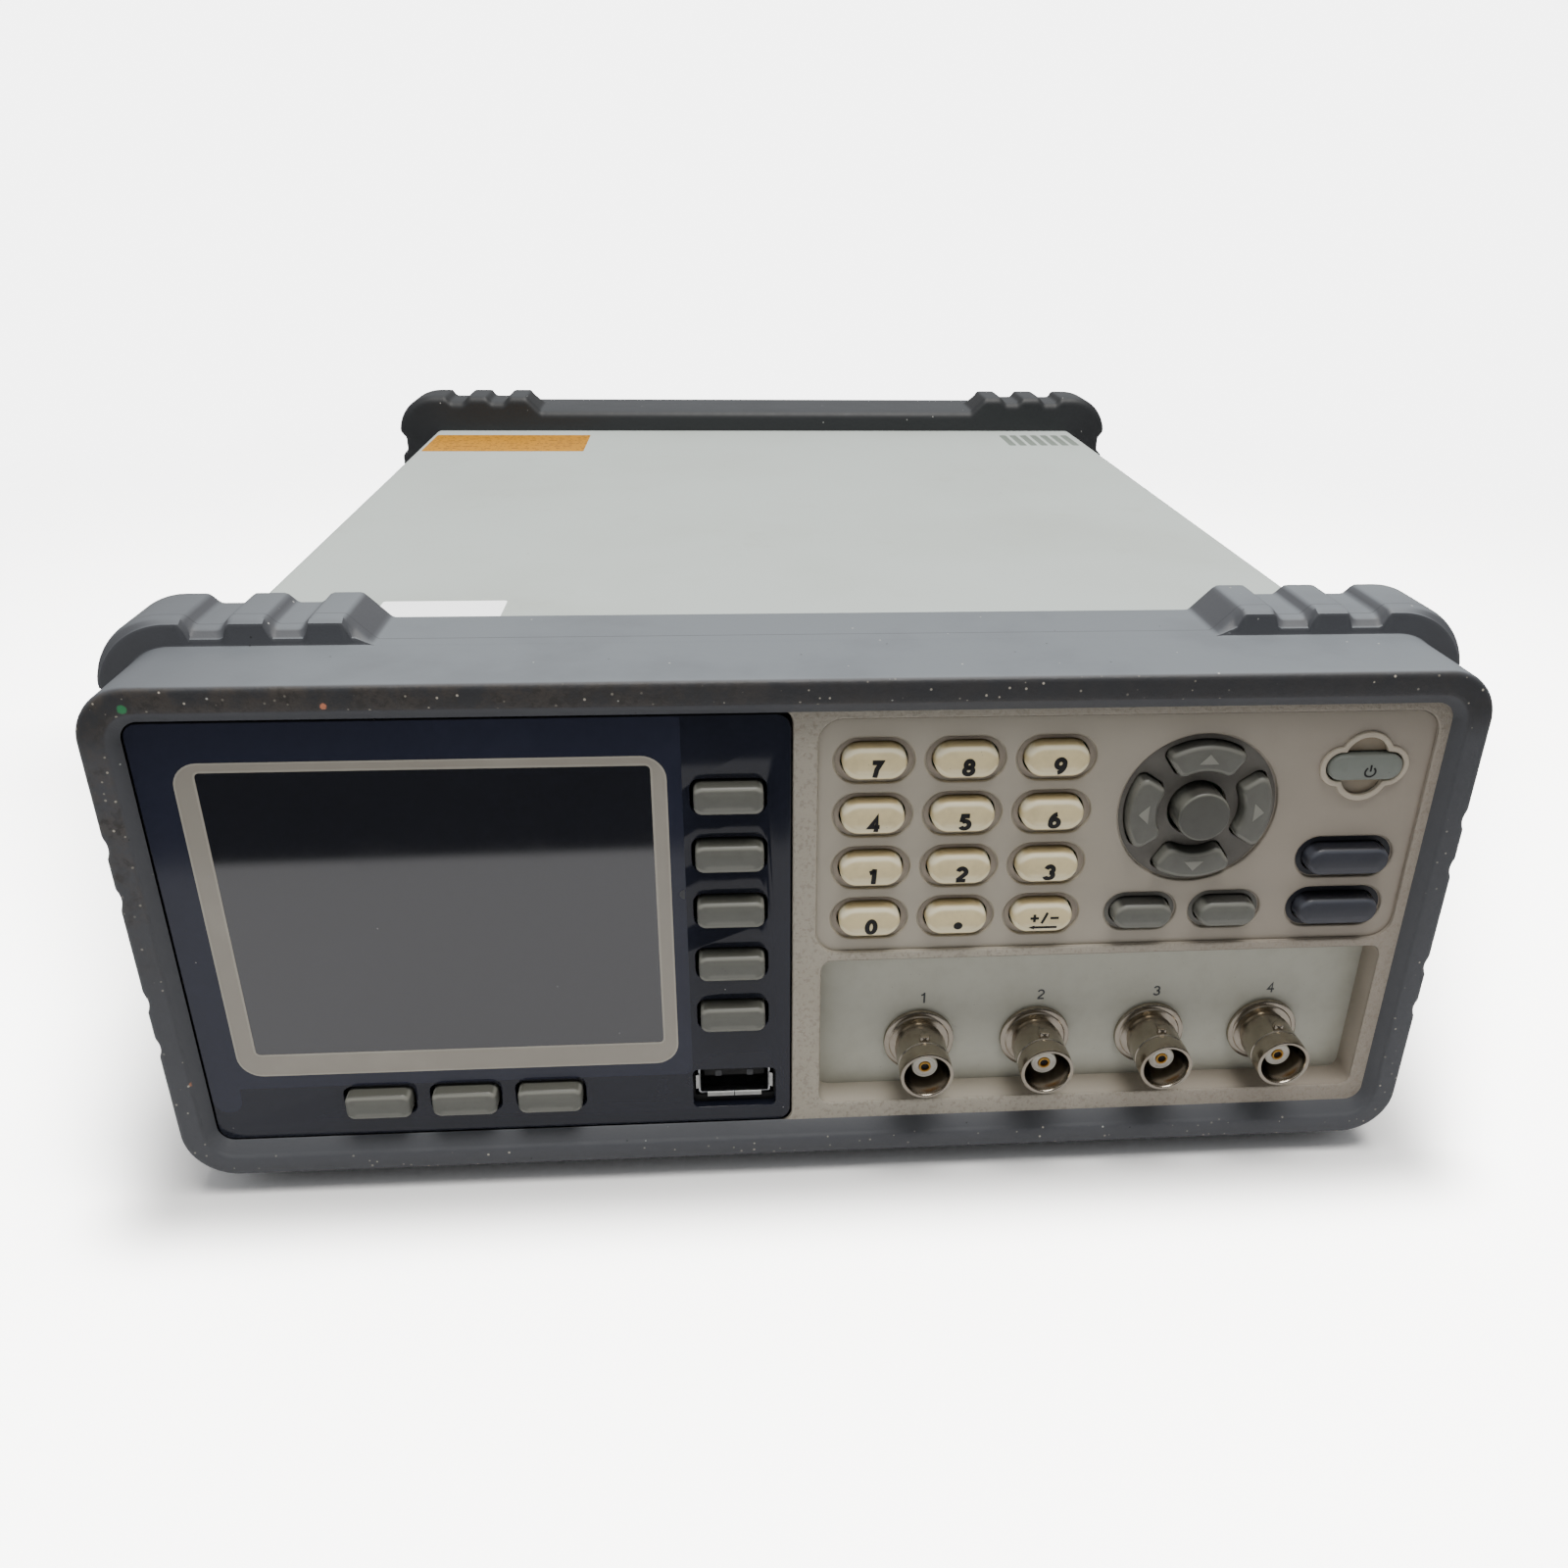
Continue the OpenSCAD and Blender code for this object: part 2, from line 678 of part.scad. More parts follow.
module top_cover() {
    inner_w = case_w - 2 * sheet;
    color("gainsboro") placed() difference() {
        slab(cover_y, cover_end) round_rect(case_w, case_h, case_r);
        slab(cover_y - 1, cover_end + 1) round_rect(inner_w, case_h - 2 * sheet, case_r - sheet);
        slab(cover_y - 1, cover_end + 1)
            translate([0, -case_h / 2]) square([inner_w, case_h], center = true);
        translate([-case_w, vent_y, side_vent_z]) rotate([90, 0, 90]) linear_extrude(2 * case_w) vent_row();
        for (x = [-1, 1], y = side_screw_ys) translate([x * case_w / 2, y, side_screw_z])
            rotate([0, 90, 0]) cylinder(d = screw_d + 2 * head_gap, h = 4 * sheet, center = true);
    }
}

// Folded floor, side flanges and front wall of the case
module chassis() {
    outer_w = case_w - 2 * sheet - 2 * sheet_gap;
    wall_end = front_wall_y + sheet;
    color("silver") placed() difference() {
        union() {
            storey(case_floor, floor_top)
                translate([-outer_w / 2, front_wall_y]) square([outer_w, rear_panel_y - front_wall_y]);
            for (x = [-1, 1]) translate([x * (outer_w - sheet) / 2, 0, case_floor + flange_h / 2])
                translate([-sheet / 2, front_wall_y, -flange_h / 2])
                    cube([sheet, rear_panel_y - front_wall_y, flange_h]);
            slab(front_wall_y, wall_end) difference() {
                intersection() {
                    translate([0, -sheet / 2 - sheet_gap / 2])
                        square([outer_w, case_h - sheet - sheet_gap], center = true);
                    translate([0, -case_h / 2]) round_rect(outer_w, 2 * (case_h - sheet - sheet_gap), case_r);
                }
                for (o = wall_openings) translate([o[0], o[1]]) square([o[2], o[3]], center = true);
                usb_hole(1);
            }
        }
        for (b = boss_places) translate([b[0], 0, b[1]])
            bar(screw_d + 2 * head_gap, front_wall_y - 1, wall_end + 1);
        for (x = [-1, 1], y = side_screw_ys) translate([x * outer_w / 2, y, side_screw_z])
            rotate([0, 90, 0]) cylinder(d = pilot_d, h = 4 * sheet, center = true);
        storey(case_floor - 1, floor_top + 1) for (x = floor_vent_xs) translate([x, vent_y]) vent_row();
    }
}

// ---- Front panel ----

// Places children at every number key
module at_numbers() {
    for (i = [0:11]) translate(number_at(i)) children();
}

module number_shape(grow) {
    pill(number_w + 2 * grow, number_h + 2 * grow);
}

module grey_shape(grow) {
    pill(grey_w + 2 * grow, grey_h + 2 * grow);
}

module dark_shape(grow) {
    pill(dark_w + 2 * grow, dark_h + 2 * grow);
}

module soft_shape(grow) {
    round_rect(soft_w + 2 * grow, soft_h + 2 * grow, soft_r + grow);
}

module power_shape(grow) {
    pill(power_w + 2 * grow, power_h + 2 * grow);
}

// One arrow key's outline, pointing along +x and grown all round
module arrow_shape(grow) {
    tip = -grow / sin(arrow_half);
    reach = 2 * arrow_out;
    intersection() {
        difference() {
            circle(arrow_out + grow);
            circle(arrow_in - grow);
        }
        polygon([[tip, 0], [reach, (reach - tip) * tan(arrow_half)],
            [reach, -(reach - tip) * tan(arrow_half)]]);
    }
}

module clover(grow) {
    pill(clover_w + 2 * grow, clover_h + 2 * grow);
    circle(d = clover_d + 2 * grow);
}

module soft_holes(grow) {
    for (p = concat(soft_keys, menu_keys)) translate(p) soft_shape(grow);
}

// All key holes through the keypad field
module field_holes(grow) {
    at_numbers() number_shape(grow);
    for (p = [esc_at, trigger_at]) translate(p) grey_shape(grow);
    for (p = [measure_at, setup_at]) translate(p) dark_shape(grow);
    translate(power_at) power_shape(grow);
    translate([pad_x, pad_z]) {
        circle(centre_r + grow);
        for (a = arrow_angles) rotate(a) arrow_shape(grow);
    }
}

module field_dishes() {
    at_numbers() number_shape(dish_lap);
    for (p = [esc_at, trigger_at]) translate(p) grey_shape(grey_dish_lap);
    for (p = [measure_at, setup_at]) translate(p) dark_shape(grey_dish_lap);
    translate([pad_x, pad_z]) circle(pad_r);
    translate(power_at) clover(-clover_rim);
}

module usb_hole(grow) {
    translate(usb_at) square([usb_w + 2 * grow, usb_h + 2 * grow], center = true);
}

module front_panel() {
    color("tan") placed() difference() {
        union() {
            slab(panel_y, panel_back) round_rect(panel_w, panel_h, panel_r);
            slab(panel_back - eps, bay_y + bay_wall) translate([jack_bay_x, jack_bay_z])
                round_rect(jack_bay_w + 2 * bay_wall, jack_bay_h + 2 * bay_wall, 2);
            for (b = boss_places) translate([b[0], 0, b[1]])
                bar(boss_d, (in_bay(b) ? bay_y + bay_wall : panel_back) - eps, front_wall_y);
            for (b = board_boss_places) translate([b[0], 0, b[1]])
                bar(boss_d - 2, panel_back - eps, board_y);
            slab(panel_back - eps, seat_y) difference() {
                round_rect(panel_w, panel_h, panel_r);
                round_rect(panel_w - 6, panel_h - 5, panel_r - 2.5);
            }
        }
        slab(panel_y - 1, field_y) translate([field_x, field_z]) difference() {
            round_rect(field_w, field_h, field_r);
            translate(power_at - [field_x, field_z]) clover(0);
        }
        slab(panel_y - 1, panel_y + field_depth - rim_rise) translate(power_at) clover(eps);
        slab(panel_y - 1, dish_y) field_dishes();
        slab(panel_y - 1, panel_back + 1) field_holes(key_gap);
        slab(panel_y - 1, bay_y) translate([jack_bay_x, jack_bay_z]) round_rect(jack_bay_w, jack_bay_h, 2);
        for (x = jack_xs) translate([x, 0, jack_z]) bar(shank_d + 0.1, bay_y - 1, bay_y + bay_wall + 1);
        slab(panel_y - 1, lens_back) {
            translate([lens_x, 0]) round_rect(lens_w + 2 * lens_gap, window_h, window_r);
        }
        slab(panel_y - 1, panel_back + 1) {
            translate([picture_x, picture_z]) square([picture_w + 2, picture_h + 2], center = true);
            soft_holes(soft_gap);
            usb_hole(lens_gap);
        }
        for (b = boss_places) translate([b[0], 0, b[1]])
            bar(pilot_d, front_wall_y + sheet - screw_len, front_wall_y + 1);
        for (b = board_boss_places) translate([b[0], 0, b[1]]) bar(pilot_d, panel_back, board_y + 1);
    }
}

module display_window() {
    color("midnightblue") placed() slab(panel_y, lens_back) difference() {
        translate([lens_x, 0]) round_rect(lens_w, lens_h, lens_corner);
        soft_holes(soft_gap);
        translate([usb_at[0], usb_bay_z]) round_rect(usb_bay_w, usb_bay_h, usb_bay_r);
    }
}

module display_module() {
    color("black") placed() slab(module_y, module_y + module_t)
        translate([module_x, module_z]) square([module_w, module_h], center = true);
}

module key_board() {
    board_w = 2 * boss_x + 1;
    board_h = 2 * boss_z + 1;
    color("darkgreen") placed() slab(board_y, board_back) difference() {
        square([board_w, board_h], center = true);
        translate([jack_bay_x - jack_bay_w / 2 - bay_wall - 1, jack_bay_z - jack_bay_h])
            square([board_w, 1.5 * jack_bay_h + bay_wall + 1]);
        for (b = boss_places) translate(b) circle(d = boss_d + 1);
        usb_hole(1);
        for (b = board_boss_places) translate(b) circle(d = screw_d);
    }
}

// Contact pads that the keys press
module key_switches() {
    color("gold") placed() {
        slab(board_y - switch_t, board_y) {
            at_numbers() circle(d = post_d + 1);
            for (p = concat([esc_at, trigger_at, measure_at, setup_at, power_at, [pad_x, pad_z]],
                soft_keys, menu_keys)) translate(p) circle(d = post_d + 1);
            translate([pad_x, pad_z]) for (a = arrow_angles) rotate(a)
                translate([arrow_mid, 0]) circle(d = post_d + 1);
        }
    }
}

// ---- Keys ----

// A key: its cap through the panel, a collar behind the panel and a post.
// The first child is the cap's outline, the second is the collar's
module key(at, front_y, colour) {
    color(colour) placed() translate([at[0], 0, at[1]]) {
        slab(front_y, collar_y + eps) children(0);
        slab(collar_y, collar_y + collar_t) children(1);
        slab(collar_y + collar_t - eps, key_end) circle(d = post_d);
    }
}

module number_key(i) {
    key(number_at(i), field_y - number_proud, "wheat") {
        number_shape(0);
        number_shape(collar_lap);
    }
}

module grey_key(at) {
    key(at, field_y - grey_proud, "gray") {
        grey_shape(0);
        grey_shape(collar_lap);
    }
}

module dark_key(at) {
    key(at, field_y - grey_proud, "darkslategray") {
        dark_shape(0);
        dark_shape(collar_lap);
    }
}

module arrow_key(i) {
    color("gray") placed() translate([pad_x, 0, pad_z]) {
        slab(field_y - arrow_proud, collar_y + eps) rotate(arrow_angles[i]) arrow_shape(0);
        slab(collar_y, collar_y + collar_t) rotate(arrow_angles[i]) arrow_shape(arrow_lap);
        slab(collar_y + collar_t - eps, key_end) rotate(arrow_angles[i])
            translate([arrow_mid, 0]) circle(d = post_d);
    }
}

module key_enter() {
    key([pad_x, pad_z], field_y - enter_proud, "gray") {
        circle(centre_r);
        circle(centre_r + collar_lap);
    }
}

module key_power() {
    key(power_at, field_y - power_proud, "lightgray") {
        power_shape(0);
        power_shape(collar_lap);
    }
}

module soft_key(at) {
    key(at, panel_y - soft_proud, "gray") {
        soft_shape(0);
        soft_shape(collar_lap);
    }
}

// ---- Boards ----

module board_outline() {
    polygon([[-board_side, board_front_y], [board_side, board_front_y], [board_side, board_split_y],
        [board_split_x, board_split_y], [board_split_x, board_rear_y], [-board_side, board_rear_y]]);
}

module at_places(places, z) {
    for (p = places) translate([p[0], p[1], z]) children();
}

module main_board() {
    color("darkgreen") placed() difference() {
        storey(board_z, board_top) board_outline();
        at_places(main_holes, board_z - 1) cylinder(d = screw_d + 0.2, h = board_t + 2);
    }
}

module board_standoffs() {
    color("goldenrod") placed() at_places(concat(main_holes, supply_holes), floor_top) difference() {
        cylinder(d = standoff_d, h = standoff_h);
        translate([0, 0, standoff_h - screw_len]) cylinder(d = screw_d, h = screw_len + 1);
    }
}

module board_screws() {
    color("silver") placed() {
        at_places(concat(main_holes, supply_holes), board_top) pan_screw();
        for (b = board_boss_places) translate([b[0], board_back, b[1]]) rotate([-90, 0, 0]) {
            cylinder(d = screw_head_d, h = screw_head_h);
            translate([0, 0, -board_t - 3]) cylinder(d = pilot_d, h = board_t + 3 + eps);
        }
    }
}

// Tinned box over the measuring circuit
module shield_can() {
    color("lightsteelblue") placed() translate([can_at[0], can_at[1], board_top]) difference() {
        cube(can);
        translate([can_wall, can_wall, -1]) cube(can - [2 * can_wall, 2 * can_wall, can_wall - 1]);
    }
}

module supply_board() {
    color("peru") placed() difference() {
        storey(board_z, board_top) translate([supply_x - supply_w / 2, supply_y])
            square([supply_w, board_rear_y - supply_y]);
        at_places(supply_holes, board_z - 1) cylinder(d = screw_d + 0.2, h = board_t + 2);
    }
}

module supply_transformer() {
    winding = core - [2 * core_leg, -2 * winding_over, 2 * core_leg];
    color("khaki") placed() translate([supply_x, transformer_y, board_top + core[2] / 2]) {
        cube(core, center = true);
        cube(winding, center = true);
    }
}

module supply_capacitors() {
    color("navy") placed() for (c = capacitors)
        translate([supply_x + c[0] * supply_w, supply_y + c[1] * supply_len, board_top])
            cylinder(d = c[2], h = c[3]);
}

// ---- Rear fittings ----

module dsub_outline(w) {
    taper = 0.9;
    polygon([[-w / 2, dsub_h / 2], [w / 2, dsub_h / 2], [w / 2 - taper, -dsub_h / 2],
        [-w / 2 + taper, -dsub_h / 2]]);
}

module dsub_holes(at, w) {
    translate(at) {
        square([w + 1, dsub_h + 1], center = true);
        for (x = [-1, 1]) translate([x * (w / 2 + dsub_screw_over), 0]) circle(d = screw_d + 0.2);
    }
}

module rear_panel() {
    inner_w = case_w - 2 * sheet - 2 * sheet_gap;
    color("gainsboro") placed() slab(rear_panel_y, case_len) difference() {
        translate([0, -sheet / 2]) round_rect(inner_w, case_h - sheet - 2 * sheet_gap, case_r);
        translate([inlet_x, inlet_mid_z]) square([inlet_body_w + 0.4, inlet_body_h + 0.4], center = true);
        dsub_holes(serial_at, serial_w);
        dsub_holes(handler_at, handler_w);
        translate(stud_at) circle(d = stud_d + 0.1);
        translate(rear_vent_at) vent_row();
    }
}

module mains_inlet() {
    color("black") placed() difference() {
        union() {
            slab(case_len, case_len + inlet_flange_t) translate([inlet_x, inlet_mid_z])
                round_rect(inlet_flange_w + 1, inlet_flange_h, 2);
            slab(case_len - inlet_body_len, case_len + eps) translate([inlet_x, inlet_mid_z])
                square([inlet_body_w, inlet_body_h], center = true);
        }
        slab(case_len + inlet_flange_t - inlet_depth, case_len + 10) translate([inlet_x, inlet_z])
            inlet_outline(inlet_w, inlet_h);
        slab(case_len + inlet_flange_t - drawer_len - drawer_gap, case_len + 10)
            translate([inlet_x, drawer_z])
                square([drawer_w + 2 * drawer_gap, drawer_h + 2 * drawer_gap], center = true);
        at_blades() slab(case_len - inlet_body_len - 1, case_len) square(blade, center = true);
    }
}

// Places children at the three blades, with the middle one higher
module at_blades() {
    for (x = [-1, 0, 1]) translate([inlet_x + x * blade_pitch, 0, inlet_z + (x == 0 ? 2 : -2)]) children();
}

// Mains opening with its two lower corners cut
module inlet_outline(w, h) {
    cut = 4;
    polygon([[-w / 2, -h / 2 + cut], [-w / 2 + cut, -h / 2], [w / 2 - cut, -h / 2], [w / 2, -h / 2 + cut],
        [w / 2, h / 2], [-w / 2, h / 2]]);
}

module inlet_blades() {
    color("silver") placed() at_blades()
        slab(case_len - inlet_body_len - blade_tail, case_len - blade_short) square(blade, center = true);
}

module fuse_drawer() {
    front = case_len + inlet_flange_t;
    color("black") placed() translate([inlet_x, 0, drawer_z]) difference() {
        slab(front - drawer_len, front + drawer_lip) square([drawer_w, drawer_h], center = true);
        slab(front - drawer_len + drawer_ends[0], front - drawer_ends[1])
            square([drawer_w - 2 * drawer_wall, drawer_h + 1], center = true);
    }
}

module dsub(at, w) {
    color("silver") placed() translate([at[0], 0, at[1]]) {
        slab(rear_panel_y - 1, rear_panel_y)
            difference() {
                square([w + dsub_flange_over, dsub_flange_h], center = true);
                for (x = [-1, 1]) translate([x * (w / 2 + dsub_screw_over), 0]) circle(d = screw_d + 0.2);
            }
        slab(rear_panel_y - dsub_depth, case_len + dsub_proud) dsub_outline(w);
    }
}

module port_screws() {
    color("gold") placed() for (p = [[serial_at, serial_w], [handler_at, handler_w]], x = [-1, 1])
        translate([p[0][0] + x * (p[1] / 2 + dsub_screw_over), 0, p[0][1]]) {
            difference() {
                slab(case_len, case_len + port_screw_len) hexagon(port_screw_af);
                bar(port_thread_d, case_len + 1, case_len + port_screw_len + 1);
            }
            bar(screw_d, rear_panel_y - 4, case_len + eps);
        }
}

module earth_terminal() {
    color("silver") placed() translate([stud_at[0], 0, stud_at[1]]) {
        bar(stud_d, rear_panel_y - stud_nut_t - 2, case_len + stud_nut_t + stud_len);
        slab(case_len, case_len + stud_nut_t) hexagon(stud_nut_af);
        slab(rear_panel_y - stud_nut_t, rear_panel_y) hexagon(stud_nut_af);
    }
}

// ---- Test sockets ----

module at_jacks() {
    for (x = jack_xs) translate([x, 0, jack_z]) children();
}

module socket_shells() {
    color("silver") placed() at_jacks() difference() {
        union() {
            bar(jack_d, jack_front, jack_front + collar_len);
            bar(jack_d - 0.15, jack_front + collar_len - eps, bay_y - shoulder_t + eps);
            bar(shoulder_d, bay_y - shoulder_t, bay_y);
            bar(shank_d, bay_y - eps, shank_end);
            translate([0, lug_y, 0]) cylinder(d = lug_d, h = jack_d + 2 * lug_rise, center = true);
        }
        bar(jack_bore, jack_front - 1, bay_y);
        bar(insulator_d, bay_y - 1, shank_end + 1);
    }
}

module socket_insulators() {
    color("white") placed() at_jacks() difference() {
        bar(insulator_d, insulator_front, shank_end + 1);
        bar(contact_d, jack_front, shank_end + 2);
    }
}

module socket_contacts() {
    color("gold") placed() at_jacks() difference() {
        bar(contact_d, contact_front, contact_end);
        bar(contact_bore, jack_front + 1, contact_front + 5);
    }
}

module socket_nuts() {
    color("silver") placed() at_jacks() slab(nut_y, nut_y + nut_t) difference() {
        hexagon(nut_af);
        circle(d = shank_d);
    }
}

module usb_port() {
    color("silver") placed() translate([usb_at[0], 0, usb_at[1]]) {
        difference() {
            union() {
                slab(usb_y, usb_y + usb_len) square([usb_w, usb_h], center = true);
                slab(usb_y, usb_y + usb_flare_t)
                    square([usb_w + 2 * usb_flare, usb_h + usb_flare], center = true);
            }
            slab(usb_y - 1, usb_y + usb_len - 2)
                square([usb_w - 2 * usb_wall, usb_h - 2 * usb_wall], center = true);
        }
        slab(usb_y + 1, usb_y + usb_len - 2 + eps) translate([0, usb_h / 2 - usb_wall - tongue_h / 2])
            square([tongue_w, tongue_h], center = true);
    }
}

module case_screws() {
    outer = case_w / 2;
    color("silver") placed() {
        for (b = boss_places) translate([b[0], front_wall_y + sheet, b[1]]) rotate([-90, 0, 0]) {
            cylinder(d = screw_head_d, h = screw_head_h);
            translate([0, 0, -screw_len]) cylinder(d = pilot_d, h = screw_len + eps);
        }
        for (x = [-1, 1], y = side_screw_ys) translate([x * outer, y, side_screw_z]) rotate([0, x * 90, 0]) {
            cylinder(d = screw_head_d, h = screw_head_h);
            translate([0, 0, -screw_len]) cylinder(d = pilot_d, h = screw_len + eps);
        }
    }
}

front_bumper();
rear_bumper();
top_cover();
chassis();
front_panel();
display_window();
display_module();
key_board();
key_switches();
main_board();
board_standoffs();
board_screws();
shield_can();
supply_board();
supply_transformer();
supply_capacitors();
rear_panel();
mains_inlet();
inlet_blades();
fuse_drawer();
dsub(serial_at, serial_w);  // serial_port
dsub(handler_at, handler_w);  // handler_port
port_screws();
earth_terminal();
socket_shells();
socket_insulators();
socket_contacts();
socket_nuts();
usb_port();
case_screws();
number_key(0);  // key_7
number_key(1);  // key_8
number_key(2);  // key_9
number_key(3);  // key_4
number_key(4);  // key_5
number_key(5);  // key_6
number_key(6);  // key_1
number_key(7);  // key_2
number_key(8);  // key_3
number_key(9);  // key_0
number_key(10);  // key_point
number_key(11);  // key_sign
arrow_key(0);  // key_up
arrow_key(1);  // key_down
arrow_key(2);  // key_left
arrow_key(3);  // key_right
key_enter();
grey_key(esc_at);  // key_esc
grey_key(trigger_at);  // key_trigger
dark_key(measure_at);  // key_measure
dark_key(setup_at);  // key_setup
key_power();
soft_key(soft_keys[0]);  // soft_key_1
soft_key(soft_keys[1]);  // soft_key_2
soft_key(soft_keys[2]);  // soft_key_3
soft_key(soft_keys[3]);  // soft_key_4
soft_key(soft_keys[4]);  // soft_key_5
soft_key(menu_keys[0]);  // menu_key_1
soft_key(menu_keys[1]);  // menu_key_2
soft_key(menu_keys[2]);  // menu_key_3
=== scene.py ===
import json
import math

import bmesh
import bpy
from mathutils import Matrix, Vector

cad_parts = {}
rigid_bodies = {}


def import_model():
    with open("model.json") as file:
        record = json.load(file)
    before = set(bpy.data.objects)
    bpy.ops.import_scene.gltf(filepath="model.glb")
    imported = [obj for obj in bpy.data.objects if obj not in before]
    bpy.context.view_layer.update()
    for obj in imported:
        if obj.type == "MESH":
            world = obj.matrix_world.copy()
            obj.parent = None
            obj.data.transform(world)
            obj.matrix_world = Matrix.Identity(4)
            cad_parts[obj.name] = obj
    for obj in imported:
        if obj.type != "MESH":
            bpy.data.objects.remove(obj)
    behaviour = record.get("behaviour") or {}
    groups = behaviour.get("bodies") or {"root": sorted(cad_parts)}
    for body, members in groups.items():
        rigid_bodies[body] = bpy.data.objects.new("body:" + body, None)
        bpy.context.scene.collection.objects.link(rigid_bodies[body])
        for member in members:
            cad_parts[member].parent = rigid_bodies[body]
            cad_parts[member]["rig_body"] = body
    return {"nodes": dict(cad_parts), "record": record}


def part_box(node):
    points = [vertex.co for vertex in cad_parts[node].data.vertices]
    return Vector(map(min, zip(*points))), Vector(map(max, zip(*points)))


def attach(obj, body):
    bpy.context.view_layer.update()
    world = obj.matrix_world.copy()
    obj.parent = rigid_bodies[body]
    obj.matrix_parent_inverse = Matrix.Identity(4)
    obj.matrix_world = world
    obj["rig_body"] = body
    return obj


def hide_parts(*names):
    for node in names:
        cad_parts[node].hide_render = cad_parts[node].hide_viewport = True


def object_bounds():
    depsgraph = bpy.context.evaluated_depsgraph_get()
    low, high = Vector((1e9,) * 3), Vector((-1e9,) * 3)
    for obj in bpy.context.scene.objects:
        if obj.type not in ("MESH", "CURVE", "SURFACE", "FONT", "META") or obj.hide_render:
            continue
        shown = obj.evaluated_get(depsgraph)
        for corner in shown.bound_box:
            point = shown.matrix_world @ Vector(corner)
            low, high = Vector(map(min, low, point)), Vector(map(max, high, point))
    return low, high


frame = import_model()
CAD_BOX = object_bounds()

# ---------------------------------------------------------------------------
# The front view's own frame, in millimetres: x to the right, y from the front
# lip's plane to the back, z up from the middle of the front panel
# ---------------------------------------------------------------------------
MM = 0.001
LIP_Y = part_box("front_bumper")[0].y
MID_Z = sum(v.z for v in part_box("display_window")) / 2


def at(x, y, z):
    return Vector((x * MM, LIP_Y + y * MM, MID_Z + z * MM))


class Spot:
    """Where a CAD node is in the front view's frame: its middle, size, front,
    back and corners. Its size leaves out a collar of this lap on each side."""

    def __init__(self, node, lap=0.0):
        lo, hi = ((v.x / MM, (v.y - LIP_Y) / MM, (v.z - MID_Z) / MM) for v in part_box(node))
        self.x, self.z = (lo[0] + hi[0]) / 2, (lo[2] + hi[2]) / 2
        self.w, self.h = hi[0] - lo[0] - 2 * lap, hi[2] - lo[2] - 2 * lap
        self.front, self.back = lo[1], hi[1]
        self.lo, self.hi = lo, hi


# Planes of the front, behind the lip's plane
PANEL_Y, LENS_BACK = Spot("display_window").front, Spot("display_window").back
FIELD_Y = PANEL_Y + 0.8
DISH_Y = FIELD_Y + 0.6
PANEL_BACK = PANEL_Y + 3.0
BAY_Y = PANEL_Y + 5.8
# The collar that holds each key behind its hole
COLLAR_LAP = 0.9

# ---------------------------------------------------------------------------
# Materials. Colours are written as they look on screen, as rrggbb
# ---------------------------------------------------------------------------
X, Y, Z = 0, 1, 2
ORIGIN = (0.0, LIP_Y, MID_Z)


def linear(colour):
    """A colour in linear light; one that isn't a screen colour stays as it is."""
    if not isinstance(colour, str):
        return colour
    parts = [int(colour[i:i + 2], 16) / 255 for i in (0, 2, 4)]
    return tuple(c / 12.92 if c <= 0.04045 else ((c + 0.055) / 1.055) ** 2.4 for c in parts) + (1.0,)


def shade(colour, share, lift=0.0):
    return tuple(c * share + lift for c in linear(colour)[:3]) + (1.0,)


class Value:
    """A node's output: plus, minus, times and abs() make maths nodes of it."""

    def __init__(self, tree, socket):
        self.tree, self.socket = tree, socket

    def __add__(self, other):
        return self.tree.math("ADD", self, other)

    def __sub__(self, other):
        return self.tree.math("SUBTRACT", self, other)

    def __mul__(self, other):
        return self.tree.math("MULTIPLY", self, other)

    def __abs__(self):
        return self.tree.math("ABSOLUTE", self)


class Tree:
    """A material's or world's nodes, and short calls that add to them."""

    def __init__(self, owner):
        owner.use_nodes = True
        self.tree = owner.node_tree
        self.tree.nodes.clear()

    def feed(self, node, key, value):
        if isinstance(value, Value):
            self.tree.links.new(value.socket, node.inputs[key])
        elif value is not None:
            node.inputs[key].default_value = value

    def node(self, kind, inputs=None, **settings):
        n = self.tree.nodes.new("ShaderNode" + kind)
        for k, v in settings.items():
            setattr(n, k, v)
        for k, v in (inputs or {}).items():
            self.feed(n, k, v)
        return n

    def value(self, kind, inputs=None, output=0, **settings):
        return Value(self, self.node(kind, inputs, **settings).outputs[output])

    def math(self, op, a, b=None, clamp=False):
        return self.value("Math", {0: a, 1: b}, operation=op, use_clamp=clamp)

    def ramp(self, value, low, high, to_low=0.0, to_high=1.0, kind="SMOOTHSTEP"):
        """value from low..high, smoothly, to to_low..to_high."""
        return self.value("MapRange", {"Value": value, "From Min": low, "From Max": high, "To Min": to_low,
                                       "To Max": to_high}, interpolation_type=kind)

    def ray(self, kind):
        return self.value("LightPath", output=f"Is {kind} Ray")


